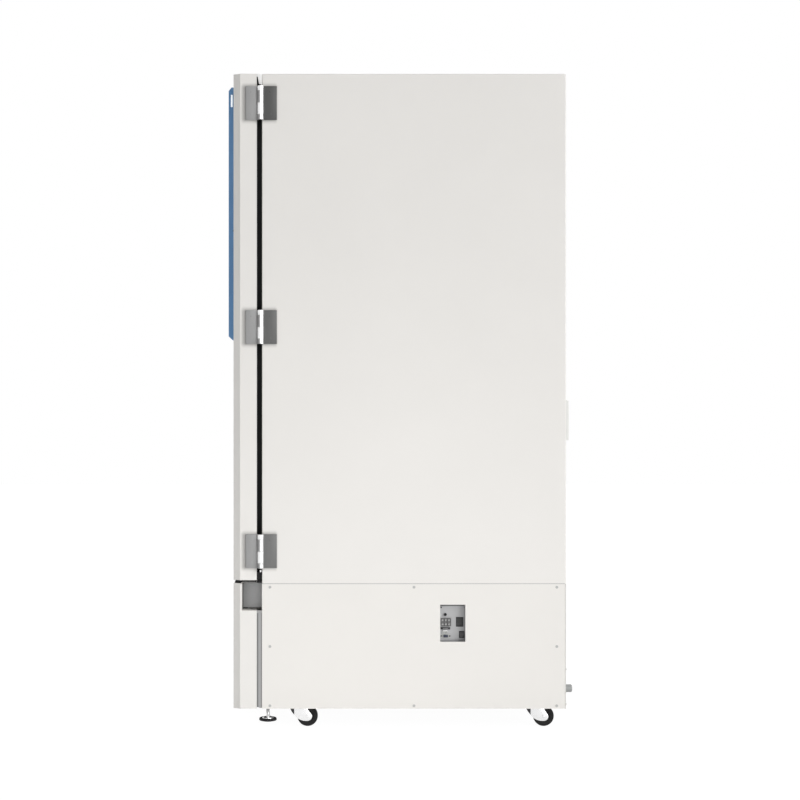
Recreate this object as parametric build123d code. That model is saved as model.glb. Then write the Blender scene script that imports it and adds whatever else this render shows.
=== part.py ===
from build123d import *
from math import cos, radians, sin
import os

os.makedirs("parts", exist_ok=True)

# Upright ultra low temperature freezer. It is drawn about the cabinet's own middle (x = 0) and
# front face (y = 0), with the floor at z = 0, and moved at the end so that its origin is the
# centre of the overall box at floor level. X runs to the hinge side and Y to the rear.

# Cabinet, in mm
height = 1980
cabinet_width = 900
cabinet_depth = 918
sheet = 1.5               # steel of the shells and covers
wall = 110                # insulated sides, top and floor
rear_wall = 115
seam_z = 441              # underside of the insulated cabinet
seam_gap = 1.5
port_hole_clearance = 2
ground_gap = 63           # floor to the lower edge of the covers
front_flange = 26         # folded front edge of the outer cabinet
fold_radius = 3

# Throat and chamber
breaker_thickness = 3
throat_depth = 50
shelf_count = 3
shelf_thickness = 15
shelf_clearance = 1
shelf_setback = 80
shelf_rail = 14
tube_size = 9
tube_loops = 6

# Door
door_thickness = 70.5
door_gap = 16
door_rise = 10            # door's lower edge above the seam
door_chamfer_side = 13
door_chamfer_deep = 20.5
door_flange = 22
liner_plate = 3.5
plug_reach = 30
plug_clearance = 10
plug_chamfer = 12
gasket_inset = 28
gasket_width = 22
gasket_waist = 14
gasket_lip = 3
sweep_inset = 8           # black strip below the gasket, from the door's side
sweep_deep = 13
sweep_high = 22

# Clearances shared by many pieces
touch_gap = 0.3
running = 0.06

# Main hinges
hinge_rise = 98           # lowest hinge's middle above the seam
hinge_drop = 89           # highest hinge's middle below the top
hinge_height = 102
hinge_splits = (0, 15.4, 51, 87, 102)      # measured down from the top of each hinge
knuckle_gap = 0.4
knuckle_radius = 9.5
hinge_pin_radius = 5
hinge_out = 10            # from the side face out to the hinge axis
hinge_axis_y = -4
leaf_thickness = 4.5
door_leaf = 33
leaf_arm_overlap = 1
cabinet_leaf = 40
leaf_inset = 5

# Fascia and display
fascia_side = 130         # from the door's side to the fascia
fascia_tall = 785
fascia_drop = 17
fascia_proud = 20.7
fascia_wall = 3
fascia_top_chamfer = (9, 11)
fascia_foot_slant = (15, 14)
lens_size = (8, 40)
lens_place = (9.3, 42)    # behind the fascia's front, and below its top
lens_proud = 0.8
display_size = (230, 130)
display_drop = 323        # display's middle below the fascia's top
display_proud = 1

# Handle, lock and pressure port
handle_drop = 35          # handle's middle below the middle hinge
handle_height = 230
handle_reach = 38
grip_thickness = 11
grip_width = 96
lever_axis_out = 9
lever_axis_y = -32
lever_barrel = 8
lever_pin_radius = 4
lever_arm = 8
cam_radius = 22
cam_rest = 135            # degrees from +X to the cam's tip at rest
cam_round = 4
cam_half = 20
bracket_ear = 12
bracket_plate = 2
bracket_front = 30
lever_shoulder = 14
strike_plate = 2.5
strike_half = 34
strike_block = 8
strike_gap = 0.6
lock_radius = 11
lock_side = 55            # from the door's side to the lock
lock_drop = 180           # below the handle
lock_rim = 5
lock_depth = 28
lock_wall = 2
port_radius = 30
port_side = 210
port_rise = 309           # above the door's lower edge
port_proud = 10
port_knob_radius = 14
port_knob_reach = 18
port_knob_room = 30
port_wall = 2
port_throat = 5
port_stroke = 5

# Base
rail = 40
rail_wall = 3
rail_low = 82
axle_beam = 80
upright_leg = 36
top_rail = 20
pan_thickness = 2
post_width = 3
post_round = 11
middle_leg = 30
foot_block = (34, 25, 10) # depth, reach inboard and height
beam_hole = 10.5

# Covers and their screws
screw_from_front = 24
screw_from_rear = 28
screw_from_window = 79    # middle row, in front of the window
screw_from_edge = (9, 11)  # above the lower edge and below the upper one
rear_screw_side = 14
rear_screw_low = 180
screw_head = 4.2
screw_head_height = 1.6
screw_shank = 2
screw_clearance = 0.3
screw_slot = (6, 1, 0.8)
rear_plate = 3.6
louvre_rows = 9
louvre = (8, 22, 190)     # height, pitch and lowest edge
louvre_side = 120
louvre_column_gap = 60

# Front panel below the door
panel_skin = 2
notch_depth = 43
notch_front = 44.5
notch_tall = 81.5
notch_wall = 6            # clearance inboard of the catch plate
catch_thickness = 3
catch_inset = 2
grille_slots = 11
grille_slot = 9
grille_side = 170
grille_pitch = 21
grille_low = 150
panel_axis_y = -9
panel_axis_z = 68
panel_pin_radius = 3
panel_lug_radius = 6
panel_lug_side = 120
panel_lug_length = 20
panel_ear = 5
filter_margin = (15, 14, 8)
filter_thickness = 12
filter_frame = 12

# Window with the terminals in the right side cover
window_from_rear = 304
window_size = (76, 112)
window_low = 265
window_depth = 37.5
window_flange = 9
rocker_tilt = 8
power_rocker = (62, 55.3, 22, 29)        # place in the window, width and height
battery_rocker = (68, 17, 16, 21)
rocker_rim = 2.4
rocker_rim_proud = 2
rocker_body = 14
rocker_floor = 3
rocker_axle = 1.2
jack = (18, 78, 4.5, 1.6, 6)             # place, radius, bore and reach
terminal_block = ((5, 35), (43, 67), 11)  # span across, span up and reach
terminal_hole = (10, 49, 9.8, 12.5, 3.2)
dark_row = ((4, 32), (32, 36.5), 8)
slot_socket = ((9, 24), (20.5, 28), 5)
slot_rim = 2
data_plate = ((3, 34), (4.5, 16.5), 2)
data_shell = ((10, 28), (6, 15), 2.5, 7)
data_screws = (6.5, 30.5, 10.5, 2, 5)

# Rear pieces
access_port_rise = 494    # above the seam
access_port_side = 130
access_port_radius = 20
access_cover = (76, 127, 22)
access_cover_chamfer = 7
gland_place = (100, 44.7)  # from the side and above the cover's lower edge
gland_round = 4
gland_inside = 6
gland_radius = 12
gland_reach = 33
gland_bore = 5.5
gland_collar = 8

# Casters and levelling feet
caster_side = 62
caster_from_front = 111.5
caster_from_rear = 86.3
caster_trail = 26
wheel_radius = 31.4
wheel_width = 24
tread = 15
axle_radius = 4
fork_plate = 3
fork_gap = 1
fork_round = 14
fork_head_radius = 20
caster_plate_size = (76, 70, 4)
stem_radius = 6
foot_side = 40
foot_stem_top = 34
foot_y = 17
foot_pad_radius = 26.8
foot_rise = 18.5
foot_base = 11
foot_dome = 4.3
foot_edge = 1.5
fork_shoulder = 18
fork_top_plate = 5
nut_radius = 9
nut_high = 4
wheel_edge = 4
wheel_recess = 3
wheel_boss = 5

# Refrigeration machine
pan_inset = 40
compressor_feet = (30, 6)
compressor_neck = 30
compressor_high = (220, 278, 92, 235)    # from the left side, from the rear, radius and height
compressor_low = (390, 278, 84, 215)     # from the right side, from the rear, radius and height
coil_side = 160
coil_front = 60
coil_deep = 36
coil_drop = 31
coil_header = 22
coil_overlap = 2
coil_tube = (7, 14, 20)   # height, lowest and highest margins
coil_tube_inset = 6
flat_tubes = 9
shroud_half = 150
shroud_wall = 4
shroud_back = 74
shroud_front = 70
fan_z = 270
fan_radius = 112
fan_clearance = 6
fan_from_coil = 54
fan_deep = 40
fan_hub = 26
fan_blade = (88, 3, 52)
fan_pitch = 28
fan_blades = 5
motor_gap = 6
motor_radius = 34
motor_long = 54
motor_strap = (8, 16, 4)
motor_shaft = 4
pipe_radius = 5
pipe_drop = 53            # pipes' highest run below the seam
pipe_bends = (16, 20)
pipe_offset = 30
control_box_side = (260, 80)
control_box_rear = (358, 158)
control_box_high = 150

# Places that follow from the sizes above
half = cabinet_width / 2
door_low = seam_z + door_rise
panel_top = seam_z
door_back = -door_gap
door_front = door_back - door_thickness
throat_half = half - wall
chamber_low = seam_z + wall
chamber_high = height - wall
chamber_back = cabinet_depth - rear_wall
compartment = (chamber_high - chamber_low) / (shelf_count + 1)
right_reach = half + hinge_out + knuckle_radius
cam_out = (cam_radius - cam_round) * -cos(radians(cam_rest)) + cam_round
left_reach = half + lever_axis_out + max(cam_out, lever_barrel)
front_reach = door_front - handle_reach
rear_reach = cabinet_depth + gland_reach
shift = Pos((left_reach - right_reach) / 2, -(front_reach + rear_reach) / 2, 0)
hinge_low, hinge_high = seam_z + hinge_rise, height - hinge_drop
hinge_z = (hinge_low, (hinge_low + hinge_high) / 2, hinge_high)
fascia_half = half - fascia_side
fascia_high = height - fascia_drop
fascia_low = fascia_high - fascia_tall
display_z = fascia_high - display_drop
handle_z = hinge_z[1] - handle_drop
lock_place = (-half + lock_side, handle_z - lock_drop)
port_place = (-half + port_side, door_low + port_rise)
access_port_x = half - access_port_side
access_port_z = seam_z + access_port_rise
gland_x, gland_z = half - gland_place[0], ground_gap + gland_place[1]
window_front = cabinet_depth - window_from_rear - window_size[0]
cover_screw_y = (screw_from_front, window_front - screw_from_window, cabinet_depth - screw_from_rear)
screw_low, screw_high = ground_gap + screw_from_edge[0], seam_z - screw_from_edge[1]
cover_screw_z = (screw_low, (screw_low + screw_high) / 2, screw_high)
notch_low = panel_top - notch_tall
panel_lug_x = half - panel_lug_side
window_y = (window_front, cabinet_depth - window_from_rear)
window_z = (window_low, window_low + window_size[1])
caster_x = half - caster_side
caster_y = (caster_from_front, cabinet_depth - caster_from_rear)
foot_x = half - foot_side


def block(x, y, z):
    """A box between two places on each axis."""
    size = [abs(b - a) for a, b in (x, y, z)]
    middle = [(a + b) / 2 for a, b in (x, y, z)]
    return Pos(*middle) * Box(*size)


def rod_x(x, y, z, radius):
    return Pos((x[0] + x[1]) / 2, y, z) * Rot(0, 90, 0) * Cylinder(radius, abs(x[1] - x[0]))


def rod_y(x, y, z, radius):
    return Pos(x, (y[0] + y[1]) / 2, z) * Rot(90, 0, 0) * Cylinder(radius, abs(y[1] - y[0]))


def rod_z(x, y, z, radius):
    return Pos(x, y, (z[0] + z[1]) / 2) * Cylinder(radius, abs(z[1] - z[0]))


def prism_z(points, z):
    """An outline in plan, carried up from z[0] to z[1]."""
    face = make_face(Polyline(*[(x, y, 0) for x, y in points], close=True))
    return Pos(0, 0, z[0]) * extrude(face, z[1] - z[0], dir=(0, 0, 1))


def prism_x(points, x):
    """An outline given as (y, z), carried across from x[0] to x[1]."""
    face = make_face(Polyline(*[(0, y, z) for y, z in points], close=True))
    return Pos(x[0], 0, 0) * extrude(face, x[1] - x[0], dir=(1, 0, 0))


nodes = {}


def keep(name, *solids):
    nodes[name] = list(solids)


def mirror_x(shape):
    return mirror(shape, about=Plane.YZ)


# Insulated cabinet
outer = block((-half, half), (0, cabinet_depth), (seam_z, height))
outer = fillet(outer.edges().filter_by(Axis.Z) + outer.faces().sort_by(Axis.Z)[-1].edges(), fold_radius)
in_x = half - sheet
in_z = (seam_z + sheet, height - sheet)
in_y = (sheet, cabinet_depth - sheet)
inside = block((-in_x, in_x), in_y, in_z)
inside = fillet(inside.edges().filter_by(Axis.Z), fold_radius - sheet)
land_x = half - front_flange
land_z = (seam_z + front_flange, height - front_flange)
front_hole = block((-land_x, land_x), (-1, sheet + 1), land_z)
port_hole = rod_y(access_port_x, (chamber_back - 10, cabinet_depth + 10), access_port_z,
                  access_port_radius + port_hole_clearance)
keep("outer_cabinet", outer - inside - front_hole - port_hole)

throat_x = throat_half + breaker_thickness
throat_z = (chamber_low - breaker_thickness, chamber_high + breaker_thickness)
breaker_plate = block((-land_x, land_x), (0, breaker_thickness), land_z)
breaker_sleeve = block((-throat_x, throat_x), (0, throat_depth), throat_z)
opening = block((-throat_half, throat_half), (-1, chamber_back), (chamber_low, chamber_high))
breaker_outer = breaker_plate + breaker_sleeve
keep("breaker_frame", breaker_outer - opening)

liner_x = throat_half + sheet
liner_z = (chamber_low - sheet, chamber_high + sheet)
liner_outer = block((-liner_x, liner_x), (throat_depth, chamber_back + sheet), liner_z)
liner = liner_outer - opening - port_hole
for level in range(1, shelf_count + 1):
    rail_top = chamber_low + level * compartment - shelf_thickness / 2
    for side in (-1, 1):
        liner += block((side * (throat_half - shelf_rail), side * (throat_half + sheet / 2)),
                       (shelf_setback + 20, chamber_back - 20), (rail_top - 2, rail_top))
keep("inner_liner", liner)

# Evaporator tubes are closed loops of soft square tube on the liner, set in the foam
tube_x = liner_x + tube_size
loops = []
for turn in range(tube_loops):
    low = chamber_low + (turn + 0.5) * (chamber_high - chamber_low) / tube_loops
    loop = block((-tube_x, tube_x), (throat_depth + 30, chamber_back + sheet + tube_size),
                 (low, low + tube_size))
    core = block((-liner_x, liner_x), (throat_depth + 30 - 1, chamber_back + sheet),
                 (low - 1, low + tube_size + 1))
    loops.append(loop - core)
keep("evaporator_tubes", *loops)

foam = inside - breaker_outer - liner_outer - port_hole
foam -= block((-throat_half, throat_half), (0, throat_depth), (chamber_low, chamber_high))
for loop in loops:
    foam -= loop
keep("cabinet_insulation", foam)

shelf_x = throat_half - shelf_clearance
shelves = []
for level in range(1, shelf_count + 1):
    low = chamber_low + level * compartment - shelf_thickness / 2
    tray = block((-shelf_x, shelf_x), (shelf_setback, chamber_back - shelf_clearance),
                 (low, low + shelf_thickness))
    hollow = block((-shelf_x + sheet, shelf_x - sheet),
                   (shelf_setback + sheet, chamber_back - shelf_clearance - sheet),
                   (low - 1, low + shelf_thickness - sheet))
    shelves.append(tray - hollow)
keep("shelves", *shelves)

# Inner doors turn on one rod that stands in the liner
inner_front = throat_depth + 2
inner_thickness = 24
inner_rod_radius = 3
rod_inset = 16            # from the throat's wall to the rod
rod_deep = 9              # from the inner doors' front to the rod
inner_edge = 5            # clearance at the sides
inner_slot = 6            # clearance between neighbouring inner doors
pull_proud = 12
inner_rod_x = throat_half - rod_inset
inner_rod_y = inner_front + rod_deep
keep("inner_door_rod", rod_z(inner_rod_x, inner_rod_y, (chamber_low, chamber_high), inner_rod_radius))
for level in range(shelf_count + 1):
    low = chamber_low + level * compartment + (inner_slot / 2 if level else 2)
    high = chamber_low + (level + 1) * compartment - (inner_slot / 2 if level < shelf_count else 2)
    slab = block((-throat_half + inner_edge, throat_half - inner_edge),
                 (inner_front, inner_front + inner_thickness), (low, high))
    slab = fillet(slab.edges().filter_by(Axis.Z), 4)
    slab -= rod_z(inner_rod_x, inner_rod_y, (low - 1, high + 1), inner_rod_radius + running)
    centre = (low + high) / 2
    grip = block((-throat_half + 16, -throat_half + 40), (inner_front - pull_proud, inner_front),
                 (centre - 45, centre + 45))
    grip -= block((-throat_half + 22, -throat_half + 41), (inner_front - pull_proud + 4, inner_front + 1),
                  (centre - 38, centre + 38))
    keep(f"inner_door_{level + 1}", slab, grip)

# Main door
chamfer_x = half - door_chamfer_side
chamfer_y = door_front + door_chamfer_deep
plan = [(-half, door_back), (-half, chamfer_y), (-chamfer_x, door_front), (chamfer_x, door_front),
        (half, chamfer_y), (half, door_back)]
door_z = (door_low, height)
door_outer = prism_z(plan, door_z)
wall_plan = [(-half + sheet, door_back - sheet), (-half + sheet, chamfer_y + sheet / 2),
             (-chamfer_x + sheet / 2, door_front + sheet), (chamfer_x - sheet / 2, door_front + sheet),
             (half - sheet, chamfer_y + sheet / 2), (half - sheet, door_back - sheet)]
door_inside = prism_z(wall_plan, (door_low + sheet, height - sheet))
liner_land = (half - door_flange, door_low + door_flange, height - door_flange)
liner_hole = block((-liner_land[0], liner_land[0]), (door_back - sheet - 1, door_back + 1),
                   liner_land[1:])
front_skin = (door_front - 1, door_front + sheet + 1)
port_hole_radius, lock_hole_radius = port_knob_radius + port_wall, lock_radius + lock_wall
port_bore = rod_y(port_place[0], (door_front - 1, door_back), port_place[1], port_hole_radius)
keep("door_shell", door_outer - door_inside - liner_hole
     - rod_y(port_place[0], front_skin, port_place[1], port_hole_radius)
     - rod_y(lock_place[0], front_skin, lock_place[1], lock_hole_radius))

plug_x = throat_half - plug_clearance
plug_z = (chamber_low + plug_clearance, chamber_high - plug_clearance)
plate_y = (door_back - liner_plate, door_back)
door_plate = block((-liner_land[0], liner_land[0]), plate_y, liner_land[1:])
plug = block((-plug_x, plug_x), (door_back, plug_reach), plug_z)
plug = chamfer(plug.faces().sort_by(Axis.Y)[-1].edges(), plug_chamfer)
core = block((-plug_x + liner_plate, plug_x - liner_plate),
             (door_back - liner_plate, plug_reach - liner_plate),
             (plug_z[0] + liner_plate, plug_z[1] - liner_plate))
core = chamfer(core.faces().sort_by(Axis.Y)[-1].edges(), plug_chamfer)
door_liner = door_plate + plug - core
keep("door_liner", door_liner)
lock_bore = rod_y(lock_place[0], (door_front, door_front + lock_depth + 2), lock_place[1], lock_hole_radius)
keep("door_insulation", door_inside - door_plate + core - port_bore - lock_bore)

gasket_x = half - gasket_inset
gasket_z = (door_low + gasket_inset, height - gasket_inset)
gasket_y = (door_back, -touch_gap)


def ring(inset, width, y):
    """A rectangular ring that follows the door's edge."""
    outside = block((-gasket_x + inset, gasket_x - inset), y, (gasket_z[0] + inset, gasket_z[1] - inset))
    deep = inset + width
    return outside - block((-gasket_x + deep, gasket_x - deep), (y[0] - 1, y[1] + 1),
                           (gasket_z[0] + deep, gasket_z[1] - deep))


waist = (gasket_width - gasket_waist) / 2
seal = ring(0, gasket_width, (gasket_y[0], gasket_y[0] + gasket_lip))
seal += ring(waist, gasket_waist, gasket_y)
seal += ring(0, gasket_width, (gasket_y[1] - gasket_lip, gasket_y[1]))
sweep_strip = block((-half + sweep_inset, half - sweep_inset), (door_back, door_back + sweep_deep),
                    (door_low + 1, door_low + 1 + sweep_high))
keep("door_gasket", seal, sweep_strip)

# Three hinges on the side faces
hinge_x = half + hinge_out


def knuckle(low, high, bore):
    return (rod_z(hinge_x, hinge_axis_y, (low, high), knuckle_radius)
            - rod_z(hinge_x, hinge_axis_y, (low - 1, high + 1), bore))


door_leaves, cabinet_leaves, pins = [], [], []
for centre in hinge_z:
    top = centre + hinge_height / 2
    bounds = [top - split for split in hinge_splits]
    leaf_x = (half, half + leaf_thickness)
    whole = (bounds[-1], bounds[0])
    door_plate_part = block(leaf_x, (door_back - door_leaf, door_back), whole)
    cabinet_plate_part = block(leaf_x, (leaf_inset, leaf_inset + cabinet_leaf), whole)
    for index in range(len(bounds) - 1):
        high = bounds[index] - (knuckle_gap / 2 if index else 0)
        low = bounds[index + 1] + (knuckle_gap / 2 if index < len(bounds) - 2 else 0)
        if index % 2:
            arm = block(leaf_x, (door_back - leaf_arm_overlap, hinge_axis_y), (low, high))
            arm -= rod_z(hinge_x, hinge_axis_y, (low - 1, high + 1), knuckle_radius - 1)
            door_plate_part += arm + knuckle(low, high, hinge_pin_radius + running)
        else:
            arm = block(leaf_x, (hinge_axis_y, leaf_inset + leaf_arm_overlap), (low, high))
            arm -= rod_z(hinge_x, hinge_axis_y, (low - 1, high + 1), knuckle_radius - 1)
            cabinet_plate_part += arm + knuckle(low, high, hinge_pin_radius)
    door_leaves.append(door_plate_part)
    cabinet_leaves.append(cabinet_plate_part)
    pins.append(rod_z(hinge_x, hinge_axis_y, whole, hinge_pin_radius))
keep("door_hinge_leaves", *door_leaves)
keep("cabinet_hinge_leaves", *cabinet_leaves)

# Fascia: a moulded cover, open towards the door
fascia_front = door_front - fascia_proud


def fascia_outline(inset):
    front = fascia_front + inset
    return [(door_front, fascia_low + inset),
            (fascia_front + fascia_foot_slant[0] + inset, fascia_low + inset),
            (front, fascia_low + fascia_foot_slant[1] + inset / 2),
            (front, fascia_high - fascia_top_chamfer[1] - inset / 2),
            (fascia_front + fascia_top_chamfer[0] + inset / 2, fascia_high - inset),
            (door_front, fascia_high - inset)]


fascia = prism_x(fascia_outline(0), (-fascia_half, fascia_half))
fascia -= prism_x(fascia_outline(fascia_wall), (-fascia_half + fascia_wall, fascia_half - fascia_wall))
lens_y, lens_z = fascia_front + lens_place[0], fascia_high - lens_place[1]
lens = block((fascia_half - fascia_wall, fascia_half + lens_proud),
             (lens_y - lens_size[0] / 2, lens_y + lens_size[0] / 2),
             (lens_z - lens_size[1] / 2, lens_z + lens_size[1] / 2))
glass = block((-display_size[0] / 2, display_size[0] / 2),
              (fascia_front - display_proud, fascia_front + fascia_wall),
              (display_z - display_size[1] / 2, display_z + display_size[1] / 2))
keep("fascia", fascia - lens - glass)
keep("status_lens", lens)
keep("display", glass)

# Handle: pulling the grip rolls a cam onto the strike and breaks the seal
axis_x = -half - lever_axis_out
handle_low, handle_high = handle_z - handle_height / 2, handle_z + handle_height / 2
grip_front = door_front - handle_reach
lever_z = (handle_low + bracket_ear, handle_high - bracket_ear)
bracket = block((-half - bracket_plate, -half), (lever_axis_y - bracket_front, door_back - 1),
                (handle_low, handle_high))
for low, high in ((handle_low, handle_low + bracket_ear - touch_gap),
                  (handle_high - bracket_ear + touch_gap, handle_high)):
    ear = block((axis_x, -half), (lever_axis_y - lever_barrel, lever_axis_y + lever_barrel), (low, high))
    bracket += ear + rod_z(axis_x, lever_axis_y, (low, high), lever_barrel)
bracket -= rod_z(axis_x, lever_axis_y, (handle_low - 1, handle_high + 1), lever_pin_radius)
keep("handle_bracket", bracket, rod_z(axis_x, lever_axis_y, (handle_low, handle_high), lever_pin_radius))

barrel_radius = lever_barrel - bracket_plate + touch_gap
barrel = rod_z(axis_x, lever_axis_y, lever_z, barrel_radius)
arm_x = (axis_x - barrel_radius, axis_x - barrel_radius + lever_arm)
inner_bend = lever_shoulder - cam_round
grip_back = grip_front + grip_thickness
arm_plan = [(arm_x[0], lever_axis_y), (arm_x[0], grip_front + lever_shoulder),
            (arm_x[0] + lever_shoulder, grip_front), (arm_x[0] + grip_width, grip_front),
            (arm_x[0] + grip_width, grip_back), (arm_x[1] + inner_bend, grip_back),
            (arm_x[1], grip_back + inner_bend), (arm_x[1], lever_axis_y)]
lever = barrel + prism_z(arm_plan, lever_z)
lean = radians(cam_rest)
cam_arm = cam_radius - cam_round
cam_tip = (axis_x + cam_arm * cos(lean), lever_axis_y + cam_arm * sin(lean))
cam_z = (handle_z - cam_half, handle_z + cam_half)
cam = rod_z(cam_tip[0], cam_tip[1], cam_z, cam_round)
root_side = cam_round + 1
cam += prism_z([(axis_x - root_side * sin(lean), lever_axis_y + root_side * cos(lean)),
                (axis_x + root_side * sin(lean), lever_axis_y - root_side * cos(lean)),
                (cam_tip[0] + cam_round * sin(lean), cam_tip[1] - cam_round * cos(lean)),
                (cam_tip[0] - cam_round * sin(lean), cam_tip[1] + cam_round * cos(lean))], cam_z)
lever += cam
lever -= rod_z(axis_x, lever_axis_y, (handle_low, handle_high), lever_pin_radius + running)
keep("handle_lever", lever)

strike_face = lever_axis_y + cam_radius + strike_gap
strike = block((-half - strike_plate, -half), (leaf_inset, leaf_inset + cabinet_leaf),
               (handle_z - strike_half, handle_z + strike_half))
strike += block((axis_x - strike_block, -half - strike_plate + sheet / 2),
                (strike_face, leaf_inset + strike_plate * 2),
                (handle_z - cam_half - strike_plate * 2, handle_z + cam_half + strike_plate * 2))
keep("latch_strike", strike)

# Key lock below the handle
lock_face = door_front - lock_rim
lock_back = door_front + lock_depth
lock_x, lock_z = lock_place
keep("lock_housing", rod_y(lock_x, (lock_face, door_front), lock_z, lock_radius + lock_rim)
     + rod_y(lock_x, (door_front, lock_back), lock_z, lock_hole_radius)
     - rod_y(lock_x, (lock_face - 1, lock_back - lock_wall), lock_z, lock_radius + running))
cylinder = rod_y(lock_x, (lock_face - sheet, lock_back - lock_wall - touch_gap), lock_z, lock_radius)
key_slot = (lock_wall / 2, lock_radius - lock_rim - 1, lock_rim + 3)
keep("lock_cylinder", cylinder - block((lock_x - key_slot[0], lock_x + key_slot[0]),
                                       (lock_face - key_slot[2], lock_face + key_slot[2]),
                                       (lock_z - key_slot[1], lock_z + key_slot[1])))

# Pressure port that lets air in after the door shuts
port_x, port_z = port_place
port_face = door_front - port_proud
port_body = rod_y(port_x, (port_face, door_front), port_z, port_radius)
port_body = chamfer(port_body.faces().sort_by(Axis.Y)[0].edges(), port_proud * 0.3)
port_body += rod_y(port_x, (door_front, door_back - liner_plate), port_z, port_hole_radius)
port_body -= rod_y(port_x, (port_face - 1, port_face + port_knob_room), port_z, port_knob_radius + running)
port_body -= rod_y(port_x, (port_face, door_back), port_z, port_throat)
keep("pressure_port", port_body)
knob_y = (port_face - port_stroke - 2 * sheet, port_face + port_knob_reach)
knob = rod_y(port_x, knob_y, port_z, port_knob_radius)
keep("pressure_port_knob", chamfer(knob.faces().sort_by(Axis.Y)[0].edges(), sheet))

# Base frame: hollow rails, beams over the casters, uprights and top rails
frame_x = half - sheet
rail_high = rail_low + rail
frame_back = cabinet_depth - rear_plate


def tube_y(x, y, z):
    shell = block(x, y, z)
    hollow = block((x[0] + rail_wall, x[1] - rail_wall), (y[0] - 1, y[1] + 1),
                   (z[0] + rail_wall, z[1] - rail_wall))
    return shell - hollow


foot_block_back = foot_block[0]
frame = None
for side in (-1, 1):
    inner, outside = sorted((side * (frame_x - rail), side * frame_x))
    pieces = [tube_y((inner, outside), (foot_block_back - 1, frame_back), (rail_low, rail_high)),
              block((side * (foot_x - foot_block[1]), side * frame_x), (0, foot_block_back),
                    (rail_low, rail_low + foot_block[2])),
              block((side * (frame_x - 2), side * frame_x), (0, frame_back), (ground_gap + 2, rail_low + 2)),
              block((side * (frame_x - top_rail), side * frame_x), (0, frame_back),
                    (seam_z - top_rail, seam_z))]
    for near, far in ((0, 1), (frame_back, -1)):
        leg_y = (near, near + far * upright_leg)
        plate_z = (rail_low, seam_z - 1)
        pieces.append(block((side * (frame_x - rail_wall), side * frame_x), leg_y, plate_z))
        pieces.append(block((side * (frame_x - upright_leg), side * frame_x), (near, near + far * rail_wall),
                            plate_z))
    middle_y = cover_screw_y[1]
    pieces.append(block((side * (frame_x - rail_wall), side * frame_x),
                        (middle_y - middle_leg / 2, middle_y + middle_leg / 2), (rail_low, seam_z - 1)))
    post = block((side * (frame_x - post_width), side * frame_x), (door_back + touch_gap, 1),
                 (ground_gap + 2, notch_low))
    corner = post.edges().filter_by(Axis.X).sort_by(Axis.Z)[:2].sort_by(Axis.Y)[0]
    post = fillet(corner, post_round)
    pieces.append(post)
    for piece in pieces:
        frame = piece if frame is None else frame + piece
for centre_y in caster_y:
    beam_y = (centre_y - axle_beam / 2, centre_y + axle_beam / 2)
    beam = block((-frame_x + rail - 1, frame_x - rail + 1), beam_y, (rail_low, rail_high))
    beam -= block((-frame_x, frame_x), (beam_y[0] + rail_wall, beam_y[1] - rail_wall),
                  (rail_low + rail_wall, rail_high - rail_wall))
    frame += beam
    for side in (-1, 1):
        frame -= rod_z(side * caster_x, centre_y, (rail_low - 1, rail_high - rail_wall), beam_hole)
for side in (-1, 1):
    frame -= rod_z(side * foot_x, foot_y, (rail_low - 1, rail_low + foot_block[2] + 1), stem_radius + running)
    cross_y = (0, rail_wall) if side < 0 else (frame_back - rail_wall, frame_back)
    frame += block((-frame_x + 1, frame_x - 1), cross_y, (rail_low, rail_high))

# Catch plates for the front panel and the lugs that it tips on
for side in (-1, 1):
    plate_x = (side * (half - notch_depth), side * (half - notch_depth - catch_thickness))
    frame += block(plate_x, (door_back - notch_front + catch_inset, rail_wall),
                   (notch_low + 2 * catch_inset, seam_z - sheet))
    frame += block((plate_x[1], side * (frame_x - upright_leg + 1)), (0, rail_wall),
                   (notch_low + 2 * catch_inset, seam_z - top_rail - 2))
    for edge in (-1, 1):
        near = side * panel_lug_x + edge * (panel_lug_length / 2 + touch_gap)
        far = near + edge * panel_ear
        lug = rod_x((near, far), panel_axis_y, panel_axis_z, panel_lug_radius - 1)
        lug += block((near, far), (panel_axis_y, rail_wall), (panel_axis_z - 4, panel_axis_z + 4))
        lug += block((near, far), (0, rail_wall), (panel_axis_z - 4, rail_low + 1))
        frame += lug
for side in (-1, 1):
    reach = panel_lug_length / 2 + touch_gap + panel_ear
    frame -= rod_x((side * panel_lug_x - reach, side * panel_lug_x + reach), panel_axis_y, panel_axis_z,
                   panel_pin_radius)
    pins.append(rod_x((side * panel_lug_x - reach, side * panel_lug_x + reach), panel_axis_y, panel_axis_z,
                      panel_pin_radius))
keep("hinge_pins", *pins)
gland_hole = (frame_back - gland_inside - 1, cabinet_depth + 1)
frame -= rod_y(gland_x, gland_hole, gland_z, gland_collar)

pan_z = (rail_high, rail_high + pan_thickness)
pan_x = frame_x - upright_leg - 1
pan = block((-pan_x, pan_x), (rail_wall + pan_inset, frame_back - rail_wall - 1), pan_z)
keep("base_frame", frame, pan)

# Covers of the machine compartment
cover_z = (ground_gap, seam_z - seam_gap)
side_cover = block((frame_x, half), (0, frame_back), cover_z)
screw_spots = [(y, z) for y in cover_screw_y for z in cover_screw_z
               if (y, z) != (cover_screw_y[1], cover_screw_z[1])]
for y, z in screw_spots:
    side_cover -= rod_x((frame_x - 1, half + 1), y, z, screw_shank + screw_clearance)
keep("left_side_cover", mirror_x(side_cover))
window = block((frame_x - 1, half + 1), window_y, window_z)
keep("right_side_cover", side_cover - window)

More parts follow.
